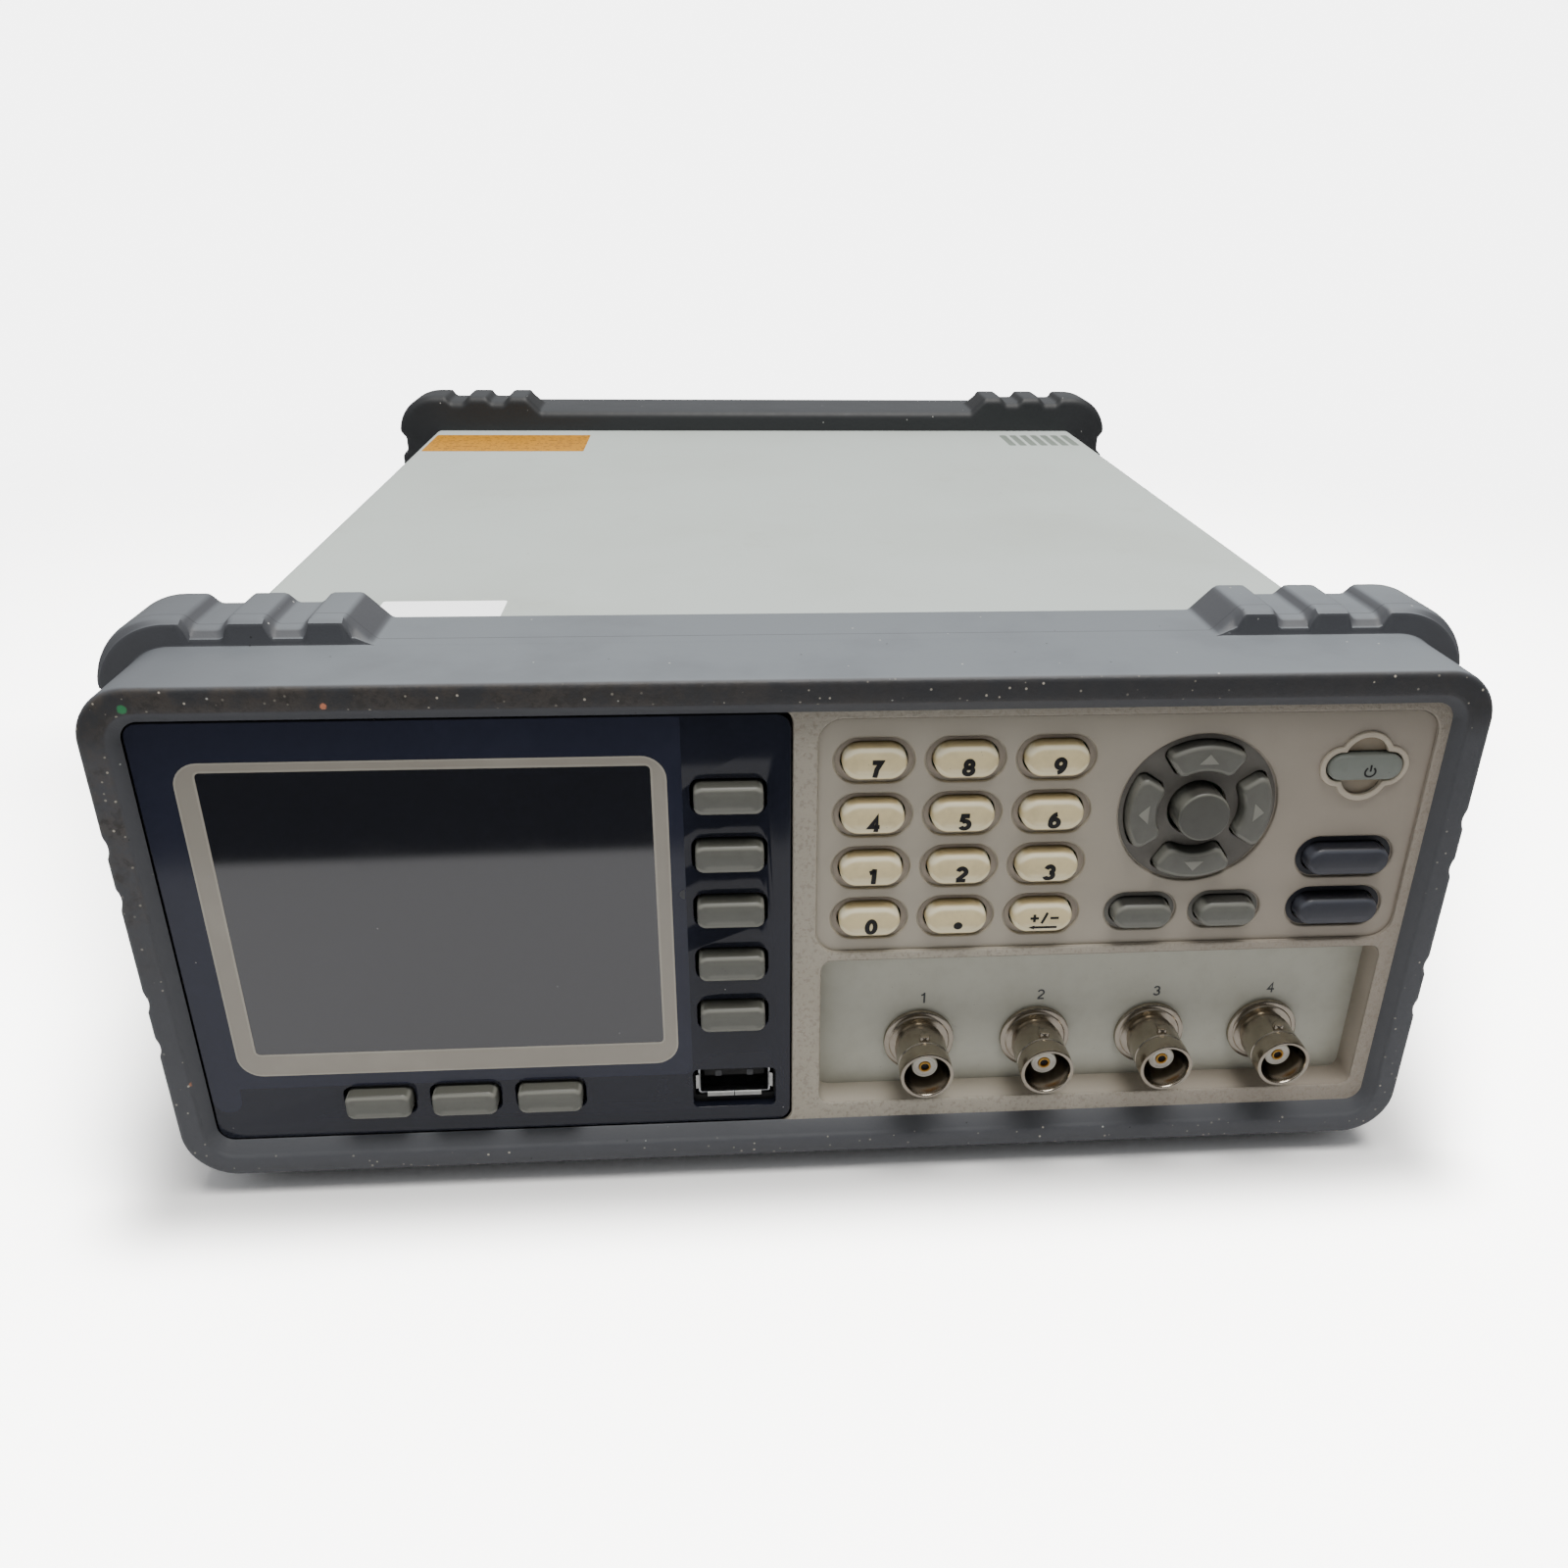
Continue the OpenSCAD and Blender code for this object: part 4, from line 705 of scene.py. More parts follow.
# How the end wall's foot and top are rounded, and how long the slope over it is
WALL_FOOT, WALL_TOP, WALL_SLOPE = 0.5, 0.7, 3.2


def clamp(v, lo=0.0, hi=1.0):
    return max(lo, min(hi, v))


class Ring:
    """A rounded rectangle that is walked in the same steps whatever its size.
    A step is (quarter, share, corner): along a side or round the corner after it."""

    def __init__(self, w, h, r):
        self.w, self.h, self.r = w, h, r

    def point(self, step):
        quarter, share, corner = step
        cx, cz = self.w / 2 - self.r, self.h / 2 - self.r
        turn = quarter * math.pi / 2
        if corner:
            a = turn + share * math.pi / 2
            sx, sz = ((1, 1), (-1, 1), (-1, -1), (1, -1))[quarter]
            return sx * cx + self.r * math.cos(a), sz * cz + self.r * math.sin(a), a
        along = 2 * share - 1
        x, z = ((self.w / 2, along * cz), (-along * cx, self.h / 2),
                (-self.w / 2, -along * cz), (along * cx, -self.h / 2))[quarter]
        return x, z, turn


LIP = Ring(LIP_W, LIP_H, LIP_R)


def full_rise(angle):
    """How far the block's outline stands off the lip in the direction angle."""
    c, n = abs(math.cos(angle)), abs(math.sin(angle))
    reach = LIP_R + RIB_RISE
    d = reach - BLOCK_R
    along = (c + n) * d
    t = along + math.sqrt(max(0.0, along**2 - 2 * d * d + BLOCK_R**2))
    if t * c < d or t * n < d:
        t = reach / max(c, n)
    return t - LIP_R


def raw_height(x, z, angle):
    """The block's height over the lip's point x, z, with sharp edges."""
    height = rise = full_rise(angle)
    qx, qz = abs(x + rise * math.cos(angle)), abs(z + rise * math.sin(angle))
    above, beside = qz > LIP_H / 2, qx > LIP_W / 2
    if above and qx < LIP_W / 2 - LIP_R:
        height = clamp(abs(x) - BLOCK_START_X, 0, rise)
    if beside and qz < LIP_H / 2 - LIP_R:
        height = clamp(abs(z) - BLOCK_START_Z, 0, rise)
    grooves = [qx - g for g in GROOVES_X] if above else []
    if beside:
        grooves.append(qz - GROOVE_Z)
    for off in grooves:
        height -= (RIB_RISE - GROOVE_RISE) * clamp((GROOVE_HALF + RIB_RAMP - abs(off)) / RIB_RAMP)
    return max(0.0, height)


def side_length(quarter):
    return (LIP_W if quarter % 2 else LIP_H) - 2 * LIP_R


def walk():
    """Steps round the lip: close together where there are ribs and scoops."""
    steps = []
    for quarter in range(4):
        straight = side_length(quarter)
        fine_from = BLOCK_START_X - 2 if quarter % 2 else 0
        along = -straight / 2
        while along < straight / 2 - 0.2:
            steps.append((quarter, along / straight + 0.5, False))
            along += FINE if max(abs(along), abs(along + COARSE)) >= fine_from else COARSE
        steps += [(quarter, i / CORNER_STEPS, True) for i in range(CORNER_STEPS)]
    return steps


def block_height(step, blur=0.5):
    """The block's height at a step, averaged over blur mm to each side, so
    that the ribs' edges are round."""
    quarter, share, corner = step
    length = LIP_R * math.pi / 2 if corner else side_length(quarter)
    total = weights = 0.0
    for k in range(-4, 5):
        weight = 5 - abs(k)
        near = (quarter, clamp(share + k / 4 * blur / length), corner)
        total += weight * raw_height(*LIP.point(near))
        weights += weight
    return total / weights


def wall_height(height):
    """How high the block's end wall stands where the block is this high."""
    if height < GROOVE_RISE:
        return height * 0.5
    steep = clamp(((height - GROOVE_RISE) / (RIB_RISE - GROOVE_RISE) - 0.35) / 0.5)
    return GROOVE_RISE * 0.5 + (RIB_RISE * 0.88 - GROOVE_RISE * 0.5) * steep


def scoop(x, z):
    """Depth of the finger scoops in the lip's sides at height z."""
    if abs(x) < LIP_W / 2 - 0.01:
        return 0.0
    near = min(abs(z - s) for s in SCOOPS_Z)
    return max(0.0, SCOOP_DEPTH - SCOOP_R + math.sqrt(max(0.0, SCOOP_R**2 - near**2)))


def skin(dip, height, lip_len, length, end_edge):
    """(depth, rise) points of the outer skin at one step, from the lip's edge."""
    points = []
    for i in range(5):
        a = math.pi / 2 * i / 4
        points.append((LIP_EDGE * (1 - math.cos(a)), -LIP_EDGE * (1 - math.sin(a)) - dip))
    # the scoops run out before the lip's end
    points.append((3, -dip))
    points += [(lip_len - d, -dip * share) for d, share in ((4, 1), (3, 0.85), (2.3, 0.45), (1.8, 0))]
    wall = wall_height(height)
    foot, top = min(WALL_FOOT, wall), min(WALL_TOP, wall / 2)
    points += [(lip_len - foot, 0), (lip_len - foot * 0.3, foot * 0.3), (lip_len, foot)]
    points += [(lip_len + 0.02, wall - top), (lip_len + top * 0.3, wall - top * 0.3), (lip_len + top, wall)]
    for i in range(1, 7):
        t = i / 6
        rise = math.sqrt(1 - (1 - t) ** 2)
        points.append((lip_len + top + WALL_SLOPE * t, wall + (height - wall) * rise))
    for i in range(6):
        a = math.pi / 2 * i / 5
        points.append((length - end_edge * (1 - math.sin(a)), height - end_edge * (1 - math.cos(a))))
    return points


def bumper(node, paint, to_y, lip_len, length, inner, scooped, end_edge):
    """inner lists (ring, depth) from the hollow's far end round to the rim."""
    bm = bmesh.new()
    rows = []
    for step in walk():
        x, z, angle = LIP.point(step)
        dip = scoop(x, z) if scooped else 0.0
        points = [(x + r * math.cos(angle), d, z + r * math.sin(angle))
                  for d, r in skin(dip, block_height(step), lip_len, length, end_edge)]
        for ring, d in inner:
            ix, iz, _ = ring.point(step)
            points.append((ix, d, iz))
        rows.append([bm.verts.new(at(px, to_y(d), pz)) for px, d, pz in points])
    for a, b in zip(rows, rows[1:] + rows[:1]):
        add_strip(bm, a, b)
    piece(node + "_skin", finish_mesh(node, bm), paint, node, smooth=42)


def bumpers():
    grip = Ring(CASE.w + SLACK, CASE.h + SLACK, GRIP_R)
    slot = Ring(PANEL.w + SLACK, PANEL.h + SLACK, SLOT_R)
    seat = PANEL_BACK + 1.2
    rim_w, rim_h, rim_r = LIP_W - 2 * BEVEL_RIM, LIP_H - 2 * BEVEL_RIM, LIP_R - BEVEL_RIM
    inner = [(grip, FRONT_SPOT.back), (grip, seat), (slot, seat), (slot, PANEL_Y + 0.02),
             (Ring(WINDOW_W, WINDOW_H, WINDOW_R), PANEL_Y),
             (Ring(WINDOW_W + 0.3, WINDOW_H + 0.3, WINDOW_R), PANEL_Y - 0.2),
             (Ring(rim_w - 0.5, rim_h - 0.5, rim_r), 0.2), (Ring(rim_w + 0.3, rim_h + 0.3, rim_r), 0)]
    length = FRONT_SPOT.back
    bumper("front_bumper", "bumper_rubber", lambda d: d, FRONT_LIP_LEN, length, inner, True, FRONT_END)
    end = REAR_SPOT.back
    length, seat = end - REAR_SPOT.front, end - Spot("rear_panel").back - 0.2
    w, h, r = REAR_WINDOW
    window = Ring(w, h, r)
    inner = [(grip, length), (grip, seat), (window, seat), (window, 0.6), (Ring(w + 1, h + 1, r), 0)]
    # the rear skin takes the darker rubber: painted shade
    bumper("rear_bumper", "rear_rubber", lambda d: end - d, REAR_LIP_LEN, length, inner, False, REAR_END)


bumpers()
dressed("top_cover", "case_paint", 0.25)
dressed("rear_panel", "case_paint", 0.2, 1)


# ---------------------------------------------------------------------------
# Outlines of the panel's openings
# ---------------------------------------------------------------------------


def pill(key, wide, high, steps=10):
    """A key's own pill, wider and higher by this much on each side."""
    s = SPOT[key]
    return rounded(s.w + 2 * wide, s.h + 2 * high, (s.h + 2 * high) / 2, steps, s.x, s.z)


def hole_pill(key):
    return pill(key, HOLE_GROW, HOLE_GROW)


def dish_pill(key, grow=0.0):
    """The dish round a key, a little wider than it is high round a number."""
    wide, high = NUMBER_DISH if key in NUMBER_KEYS else GREY_DISH if key in GREY_KEYS else DARK_DISH
    return pill(key, wide + grow, high + grow)


def soft_rect(key, grow, corner, steps=6):
    s = SPOT[key]
    return rounded(s.w + 2 * grow, s.h + 2 * grow, corner, steps, s.x, s.z)


def arrow_outline(grow, turn, steps=14):
    """One arrow key's outline, grown by grow, with its corners rounded."""
    r = ARROW_R + grow / 2
    sector_out, sector_in = ARROW_OUT + grow - r, ARROW_IN - grow + r

    def side_angle(radius):
        # where the straight side of the sharp sector meets this radius
        return ARROW_HALF + math.degrees(math.asin((grow - r) / radius))

    a_out, a_in, across = side_angle(sector_out), side_angle(sector_in), ARROW_HALF + 90

    def corner(radius, angle, start, end):
        middle = radius * math.cos(math.radians(angle)), radius * math.sin(math.radians(angle))
        return arc(*middle, r, start, end, 6)[1:]

    points = arc(0, 0, sector_out + r, -a_out, a_out, steps)
    points += corner(sector_out, a_out, a_out, across) + corner(sector_in, a_in, across, a_in + 180)
    points += arc(0, 0, sector_in - r, a_in, -a_in, steps)[1:]
    points += corner(sector_in, -a_in, 180 - a_in, 360 - across) + corner(sector_out, -a_out, -across, -a_out)
    return turned(points[:-1], turn, PAD_X, PAD_Z)


def soften(points, r, steps=4):
    """Cuts each real corner of a closed outline back by r and rounds it."""
    out, n = [], len(points)
    for i, p in enumerate(points):
        a, b, v = Vector(points[i - 1]), Vector(points[(i + 1) % n]), Vector(p)
        d1, d2 = a - v, b - v
        start, end = (v + d.normalized() * min(r, d.length * 0.9) for d in (d1, d2))
        for k in range(steps + 1):
            t = k / steps
            out.append(tuple(start * (1 - t) ** 2 + v * 2 * t * (1 - t) + end * t**2))
    return out


def pill_reach(c, n, half, b):
    """How far a pill of half height b, its ends' middles half apart, reaches
    from its middle along (c, n), where c runs along the pill."""
    if n > 1e-9 and b / n * c <= half:
        return b / n
    return half * c + math.sqrt(max(0.0, b * b - (half * n) ** 2))


def clover_outline(grow, steps=144):
    """A long dish crossed by a short upright one, as one outline."""
    s = SPOT["key_power"]
    long_half, short_half = (CLOVER_W - CLOVER_H) / 2, (CLOVER_TALL - CLOVER_WIDE) / 2
    points = []
    for i in range(steps):
        t = 2 * math.pi * i / steps
        c, n = abs(math.cos(t)), abs(math.sin(t))
        q = max(pill_reach(c, n, long_half, CLOVER_H / 2 + grow),
                pill_reach(n, c, short_half, CLOVER_WIDE / 2 + grow))
        points.append((s.x + q * math.cos(t), s.z + q * math.sin(t)))
    return points


def lens_outline(grow):
    return rounded(LENS.w + 2 * grow, LENS.h + 2 * grow, max(0.5, LENS_R + grow), 6, LENS.x, LENS.z)


DISHES = [dish_pill(k) for k in PILL_KEYS] + [disc(2 * PAD_R, PAD_X, PAD_Z, 96), clover_outline(-CLOVER_RIM)]
PAD_HOLES = [disc(CENTRE_HOLE, PAD_X, PAD_Z)] + [arrow_outline(KEY_GAP, a) for a in ARROWS.values()]
HOLES = [hole_pill(k) for k in PILL_KEYS + ["key_power"]] + PAD_HOLES
SOFT_HOLES = [soft_rect(k, SOFT_GAP, SOFT_HOLE_R) for k in SOFT_KEYS]


def panel_layers():
    """The panel's layers from the front: border, field, and the dishes' floor."""
    outline = rounded(PANEL.w, PANEL.h, PANEL_R, 6)
    room = (LENS.w + LENS_GAP + LENS_GAP_RIGHT, LENS.h + 2 * LENS_GAP, LENS_R,
            LENS.x + (LENS_GAP_RIGHT - LENS_GAP) / 2, LENS.z)
    slab("panel_border", "panel_beige", "front_panel", [outline, box(room, 6), box(FIELD, 8), box(BAY, 6)],
         PANEL_Y, FIELD_Y + 0.1, 0.5, 5)
    left, right, top, low = LENS.hi[0] + 1, PANEL.hi[0] - 1, PANEL.hi[2] - 1, FIELD[4] - FIELD[1] / 2 - 1
    half = [(left, low), (right, low), (right, top), (left, top)]
    slab("panel_field", "panel_beige", "front_panel", [half] + DISHES, FIELD_Y, DISH_Y + 0.1, 0.33, 4)
    slab("panel_dishes", "panel_beige", "front_panel", [half] + HOLES, DISH_Y, PANEL_BACK, 0.12, 2)
    # the rim in the lighter beige of a painted highlight
    slab("power_rim", "rim_pale", "front_panel", [clover_outline(0), clover_outline(-CLOVER_RIM)],
         FIELD_Y - 0.5, DISH_Y, 0.24, 3)


LINING_IN = 0.25


def linings():
    """Thin linings of another colour on the floors of the dishes."""
    pad = [disc(2 * (PAD_R - LINING_IN), PAD_X, PAD_Z, 96)] + PAD_HOLES
    power = [clover_outline(-CLOVER_RIM - 0.05), hole_pill("key_power")]
    number, grey, dark = ([[dish_pill(k, -LINING_IN), hole_pill(k)] for k in keys]
                          for keys in (NUMBER_KEYS, GREY_KEYS, DARK_KEYS))
    for name, outlines, material in (
        ("number_dish", number, "dish_taupe"), ("grey_dish", grey, "dish_grey"),
        ("dark_dish", dark, "dish_dark"), ("pad_dish", [pad], "pad_taupe"),
        ("power_dish", [power], "lobe_brown"),
    ):
        for i, loops in enumerate(outlines, 1):
            slab(f"{name}_{i}", material, "front_panel", loops, DISH_Y - 0.06, DISH_Y + 0.04, 0.02, 0)


def socket_bay():
    """The recess round the test sockets, and the dark sheet behind the window."""
    slab("bay_wall", "panel_beige", "front_panel", [box(BAY, 6, 2 * BAY_WALL, 2.5), box(BAY, 6)],
         PANEL_Y + 0.5, BAY_Y + 0.3, 0.05, 1)
    slab("bay_floor", "bay_beige", "front_panel", [box(BAY, 6, 2)] + [disc(SOCKET_HOLE, *s) for s in SOCKETS],
         BAY_Y, BAY_Y + BAY_WALL, 0.1, 1)
    port = rounded(USB.w + SLACK, USB.h + SLACK, 0.3, 3, USB.x, USB.z)
    slab("window_backing", "shadow_black", "front_panel", [lens_outline(1.3)] + SOFT_HOLES + [port],
         LENS_BACK + 0.05, PANEL_BACK, 0.1, 1)


panel_layers()
linings()
socket_bay()

# ---------------------------------------------------------------------------
# Display window: a glossy sheet with its printing in thin layers on it
# ---------------------------------------------------------------------------
PICTURE = (71.1, 54.0, 0.8, -61.45, 4.85)
PRINTED_FRAME = (77.2, 60.3, 4.2, -61.9, 3.4)
LIGHT_RIGHT, LIGHT_BOTTOM = -20.9, -29.4
TAB_RIGHT, TAB_BOTTOM = -101.2, -34.5
PRINT_T = 0.02


def printed(name, loops, layer, material):
    y = PANEL_Y - PRINT_T * layer
    slab(name, material, "display_window", loops, y, y + PRINT_T * 0.8, PRINT_T * 0.2, 0, "window_navy")


def light_zone():
    """The lighter print round the picture, with a tab down its left end."""
    left, top = LENS.lo[0] + 0.15, LENS.hi[2] - 0.15
    r, low_r, tab_r = 2.2, 1.5, (TAB_RIGHT - left) / 2
    points = arc(left + r, top - r, r, 180, 90, 6) + [(LIGHT_RIGHT, top)]
    points += arc(LIGHT_RIGHT - low_r, LIGHT_BOTTOM + low_r, low_r, 0, -90, 4) + [(TAB_RIGHT, LIGHT_BOTTOM)]
    return points + arc(left + tab_r, TAB_BOTTOM + tab_r, tab_r, 0, -180, 10)


def window():
    frame_loop, picture_loop = box(PRINTED_FRAME, 8), box(PICTURE, 4)
    loops = [lens_outline(0)] + SOFT_HOLES + [box(USB_BAY, 4)]
    slab("window_sheet", "window_navy", "display_window", loops, PANEL_Y, LENS_BACK, 0.12)
    printed("window_zone", [light_zone(), frame_loop], 1, "window_light")
    printed("window_frame", [frame_loop, picture_loop], 2, "window_frame")
    printed("frame_line", [frame_loop, box(PRINTED_FRAME, 8, -0.6, 3.9)], 3, "frame_edge")
    printed("picture_line", [box(PICTURE, 4, 0.7, 1.15), picture_loop], 3, "frame_edge")
    printed("indicator", [arc(LIGHT_RIGHT - 0.2, 8.0, 0.9, 90, 270, 12)], 3, "print_grey")
    printed("picture", [picture_loop], 1, "display_black")


window()

# ---------------------------------------------------------------------------
# Keys
# ---------------------------------------------------------------------------
NUMBER_EDGE, GREY_EDGE, POWER_EDGE, SOFT_EDGE, ARROW_EDGE, ENTER_EDGE = 1.15, 0.9, 0.7, 0.8, 0.9, 0.5
CROWN, ENTER_CROWN = 0.2, 0.1
# How much narrower a key is at its face than in its hole, on each side
DRAFT, ENTER_DRAFT = 0.3, 0.35
KEY_BACK = DISH_Y + 1.8
MARK_W, MARK_H = 3.4, 1.8


def key_cap(key, outline, half, material, edge, crown=CROWN, draft=DRAFT, back=KEY_BACK, steps=6):
    """A moulded key: outline(grow) gives its ring of (x, z) points, and half is
    how far its middle is from its side."""
    front = SPOT[key].front
    rows = [(back, draft * 0.75)]
    for i in range(steps + 1):
        a = math.radians(90 * i / steps)
        rows.append((front + crown + edge * (1 - math.sin(a)), draft + edge * (1 - math.cos(a))))
    for f in (0.3, 0.6, 0.85, 0.98) if crown else ():
        rows.append((front + crown * (1 - f) ** 2, draft + edge + (half - edge - draft) * f))
    mesh = loft(key, [[at(x, y, z) for x, z in outline(-inset)] for y, inset in rows])
    piece(key + "_cap_piece", mesh, material, key, smooth=50)


def pill_key(key, material, edge):
    key_cap(key, lambda grow: pill(key, grow, grow, 12), SPOT[key].h / 2, material, edge)


def enter_key():
    s = SPOT["key_enter"]
    key_cap("key_enter", lambda grow: disc(s.w + 2 * grow, s.x, s.z), s.w / 2, "enter_grey",
            ENTER_EDGE, ENTER_CROWN, ENTER_DRAFT)


def display_key(key):
    key_cap(key, lambda grow: soft_rect(key, grow, max(0.4, SOFT_R + 0.5 * grow)), SPOT[key].h / 2,
            "soft_grey", SOFT_EDGE, draft=0.0, back=LENS_BACK + 1.5)


def arrow_key(key, turn):
    """An arrow key with its mark, a raised triangle that points outwards."""
    key_cap(key, lambda grow: arrow_outline(grow, turn), 0.0, "pad_grey", ARROW_EDGE, crown=0.0, draft=0.0)
    front, mid = SPOT[key].front, (ARROW_OUT + ARROW_IN) / 2
    tip, foot = mid + MARK_H / 2, mid - MARK_H / 2
    mark = turned([(tip, 0), (foot, MARK_W / 2), (foot, -MARK_W / 2)], turn, PAD_X, PAD_Z)
    # the mark is the key's own plastic, in a lighter grey: painted light on the raised triangle
    slab(key + "_mark", "arrow_pale", key, [mark], front - 0.1, front + 0.2, 0.08, 2)


def face_depth(key, edge, x, z):
    """How far behind its front a pill key's rounded surface is at x, z."""
    s = SPOT[key]
    dx = max(0.0, abs(x - s.x) - max(0.0, (s.w - s.h) / 2))
    inside = s.h / 2 - DRAFT - math.hypot(dx, z - s.z)
    if inside >= edge:
        return CROWN * clamp(1 - (inside - edge) / (s.h / 2 - DRAFT - edge)) ** 2
    return CROWN + edge - math.sqrt(max(0.0, edge**2 - (edge - inside) ** 2))


def bow(cx, cz, rx, rz, start, end, steps=20):
    return arc(cx, cz, rx, start, end, steps, rz)


# The middle lines of plain block figures, FIGURE_H high
FIGURE_H = 2.44
SIX = [bow(0, -0.38, 0.56, 0.6, 0, 360), bow(0.38, -0.2, 0.94, 1.18, 180, 98)]
FIGURES = {
    "0": [bow(0, 0, 0.56, 0.98, 0, 360, 32)],
    "1": [[(0.14, -1.22), (0.14, 1.2)], [(0.2, 1.05), (-0.05, 0.74), (-0.5, 0.6)]],
    "2": [bow(0, 0.42, 0.56, 0.56, 165, -30) + [(-0.5, -0.84)], [(-0.66, -0.98), (0.64, -0.98)]],
    "3": [bow(0, 0.47, 0.5, 0.51, 165, -90), bow(0, -0.45, 0.56, 0.53, 90, -165)],
    "4": [[(0.22, -1.22), (0.22, 1.0), (-0.6, -0.42), (0.68, -0.42)]],
    "5": [[(0.52, 0.98), (-0.36, 0.98), (-0.5, 0.06)], bow(-0.02, -0.38, 0.58, 0.6, 135, -155)],
    "6": SIX,
    "7": [[(-0.62, 0.98), (0.5, 0.98), (0.02, 0.05), (-0.16, -1.22)]],
    "8": [bow(0, 0.49, 0.46, 0.49, 0, 360), bow(0, -0.45, 0.56, 0.53, 0, 360)],
    "9": [[(-x, -z) for x, z in line] for line in SIX],
}
SIGNS = [[(-1.62, 0.62), (-0.66, 0.62)], [(-1.14, 0.14), (-1.14, 1.1)], [(-0.3, -0.05), (0.3, 1.3)],
         [(0.66, 0.62), (1.62, 0.62)], [(-1.3, -0.62), (1.5, -0.62)]]
SIGN_HEAD = [(-1.75, -0.62), (-1.05, -0.34), (-1.05, -0.9)]
POWER_SIGN = [bow(0, 0, 0.9, 0.9, 125, 415, 28), [(0, 0.1), (0, 1.3)]]
DIGIT_H, DIGIT_DROP, DIGIT_SHIFT, PRINT_PROUD = 3.05, -0.75, 0.2, 0.04
# Marks are cut into bands this high, to follow the rounded face they are on
BAND = 0.25


def ribbon(bm, line, width):
    """A flat band of this width along a line of points."""
    closed = math.dist(line[0], line[-1]) < 1e-6
    line = line[:-1] if closed else line
    n, rows = len(line), []
    for i, point in enumerate(line):
        p = Vector(point)
        before = p - Vector(line[i - 1]) if closed or i else Vector(line[1]) - p
        after = Vector(line[(i + 1) % n]) - p if closed or i < n - 1 else before
        before, after = before.normalized(), after.normalized()
        along = (before + after).normalized()
        side = Vector((-along.y, along.x)) * width / 2 / max(0.5, along.dot(after))
        rows.append([bm.verts.new(((p + side * k).x * MM, 0, (p + side * k).y * MM)) for k in (1, -1)])
    for a, b in zip(rows, rows[1:] + (rows[:1] if closed else [])):
        add_strip(bm, a, b, closed=False)


def strokes(lines, scale, width, filled=()):
    """A flat mesh of lines in the plane of the front, round 0, 0."""
    bm = bmesh.new()
    for line in lines:
        ribbon(bm, [(x * scale, z * scale) for x, z in line], width)
    for outline in filled:
        bm.faces.new([bm.verts.new((x * scale * MM, 0, z * scale * MM)) for x, z in outline])
    bmesh.ops.recalc_face_normals(bm, faces=bm.faces)
    zs = [v.co.z for v in bm.verts]
    level = min(zs) + BAND * MM
    while level < max(zs):
        everything = bm.verts[:] + bm.edges[:] + bm.faces[:]
        bmesh.ops.bisect_plane(bm, geom=everything, plane_co=(0, 0, level), plane_no=(0, 0, 1))
        level += BAND * MM
    return to_mesh("strokes", bm)


def figure(digit, height, share=0.27, lean=0.05):
    """A figure that leans to the right; share is its strokes' width."""
    lines = [[(x + lean * z, z) for x, z in line] for line in FIGURES[digit]]
    return strokes(lines, height / FIGURE_H, height * share)


def on_key(name, key, mesh, edge, dx=DIGIT_SHIFT, dz=DIGIT_DROP, slot="key_cream"):
    """Prints a mesh onto a pill key's rounded face."""
    s = SPOT[key]
    for v in mesh.vertices:
        x, z = v.co.x / MM + s.x + dx, v.co.z / MM + s.z + dz
        v.co = at(x, s.front + face_depth(key, edge, x, z) - PRINT_PROUD, z)
    piece(name, mesh, "print_black", key, slot)


def keys():
    for k in NUMBER_KEYS:
        pill_key(k, "key_cream", NUMBER_EDGE)
    for k in NUMBER_KEYS[:10]:
        on_key(k + "_digit", k, figure(k[-1], DIGIT_H), NUMBER_EDGE)
    point = strokes([], 1.0, 0, [bow(0, 0, 0.78, 0.78, 0, 345, 23)])
    on_key("key_point_mark", "key_point", point, NUMBER_EDGE, dz=-0.9)
    on_key("key_sign_mark", "key_sign", strokes(SIGNS, 1.55, 0.46, [SIGN_HEAD]), NUMBER_EDGE)
    for k in GREY_KEYS:
        pill_key(k, "key_grey", GREY_EDGE)
    for k in DARK_KEYS:
        pill_key(k, "key_dark", GREY_EDGE)
    pill_key("key_power", "key_clear", POWER_EDGE)
    sign = strokes(POWER_SIGN, 1.0, 0.32)
    on_key("key_power_mark", "key_power", sign, POWER_EDGE, 0.6, -0.6, "key_clear")
    enter_key()
    for k in SOFT_KEYS:
        display_key(k)
    for k, turn in ARROWS.items():
        arrow_key(k, turn)


keys()

# ---------------------------------------------------------------------------
# Sockets, ports and labels
# ---------------------------------------------------------------------------
JACK = Spot("socket_shells")
MOUTH = JACK.front
BARREL_R, BORE_R, SHOULDER_R, SHANK_R, INSULATOR_R = 4.825, 4.05, 6.6, 4.6, 2.35
SHOULDER_Y, COLLAR_Y = BAY_Y - 1.2, MOUTH + 3.4
LUG_R, LUG_Y, LUG_TOP = 1.0, MOUTH + 5, BARREL_R + 0.88
CONTACT_HOLE = 1.38
# A socket's number on the panel: its height and place from the socket's middle
NUMBER_H, NUMBER_X, NUMBER_Z = 2.3, 0.6, 9.1


def lathe(name, cx, cz, profile, steps=64):
    """Turns a closed (radius, y) profile about the axis through cx, cz."""
    bm = bmesh.new()
    made = []
    for i in range(steps):
        t = 2 * math.pi * i / steps
        made.append([bm.verts.new(at(cx + r * math.cos(t), y, cz + r * math.sin(t))) for r, y in profile])
    for a, b in zip(made, made[1:] + made[:1]):
        for j in range(len(profile)):
            k = (j + 1) % len(profile)
            if max(profile[j][0], profile[k][0]) >= 1e-6:
                bm.faces.new((a[j], a[k], b[k], b[j]))
    return finish_mesh(name, bm)


def moved(r, y, *points):
    """(radius, y) points of a profile, moved by r and y."""
    return [(r + dr, y + dy) for dr, dy in points]


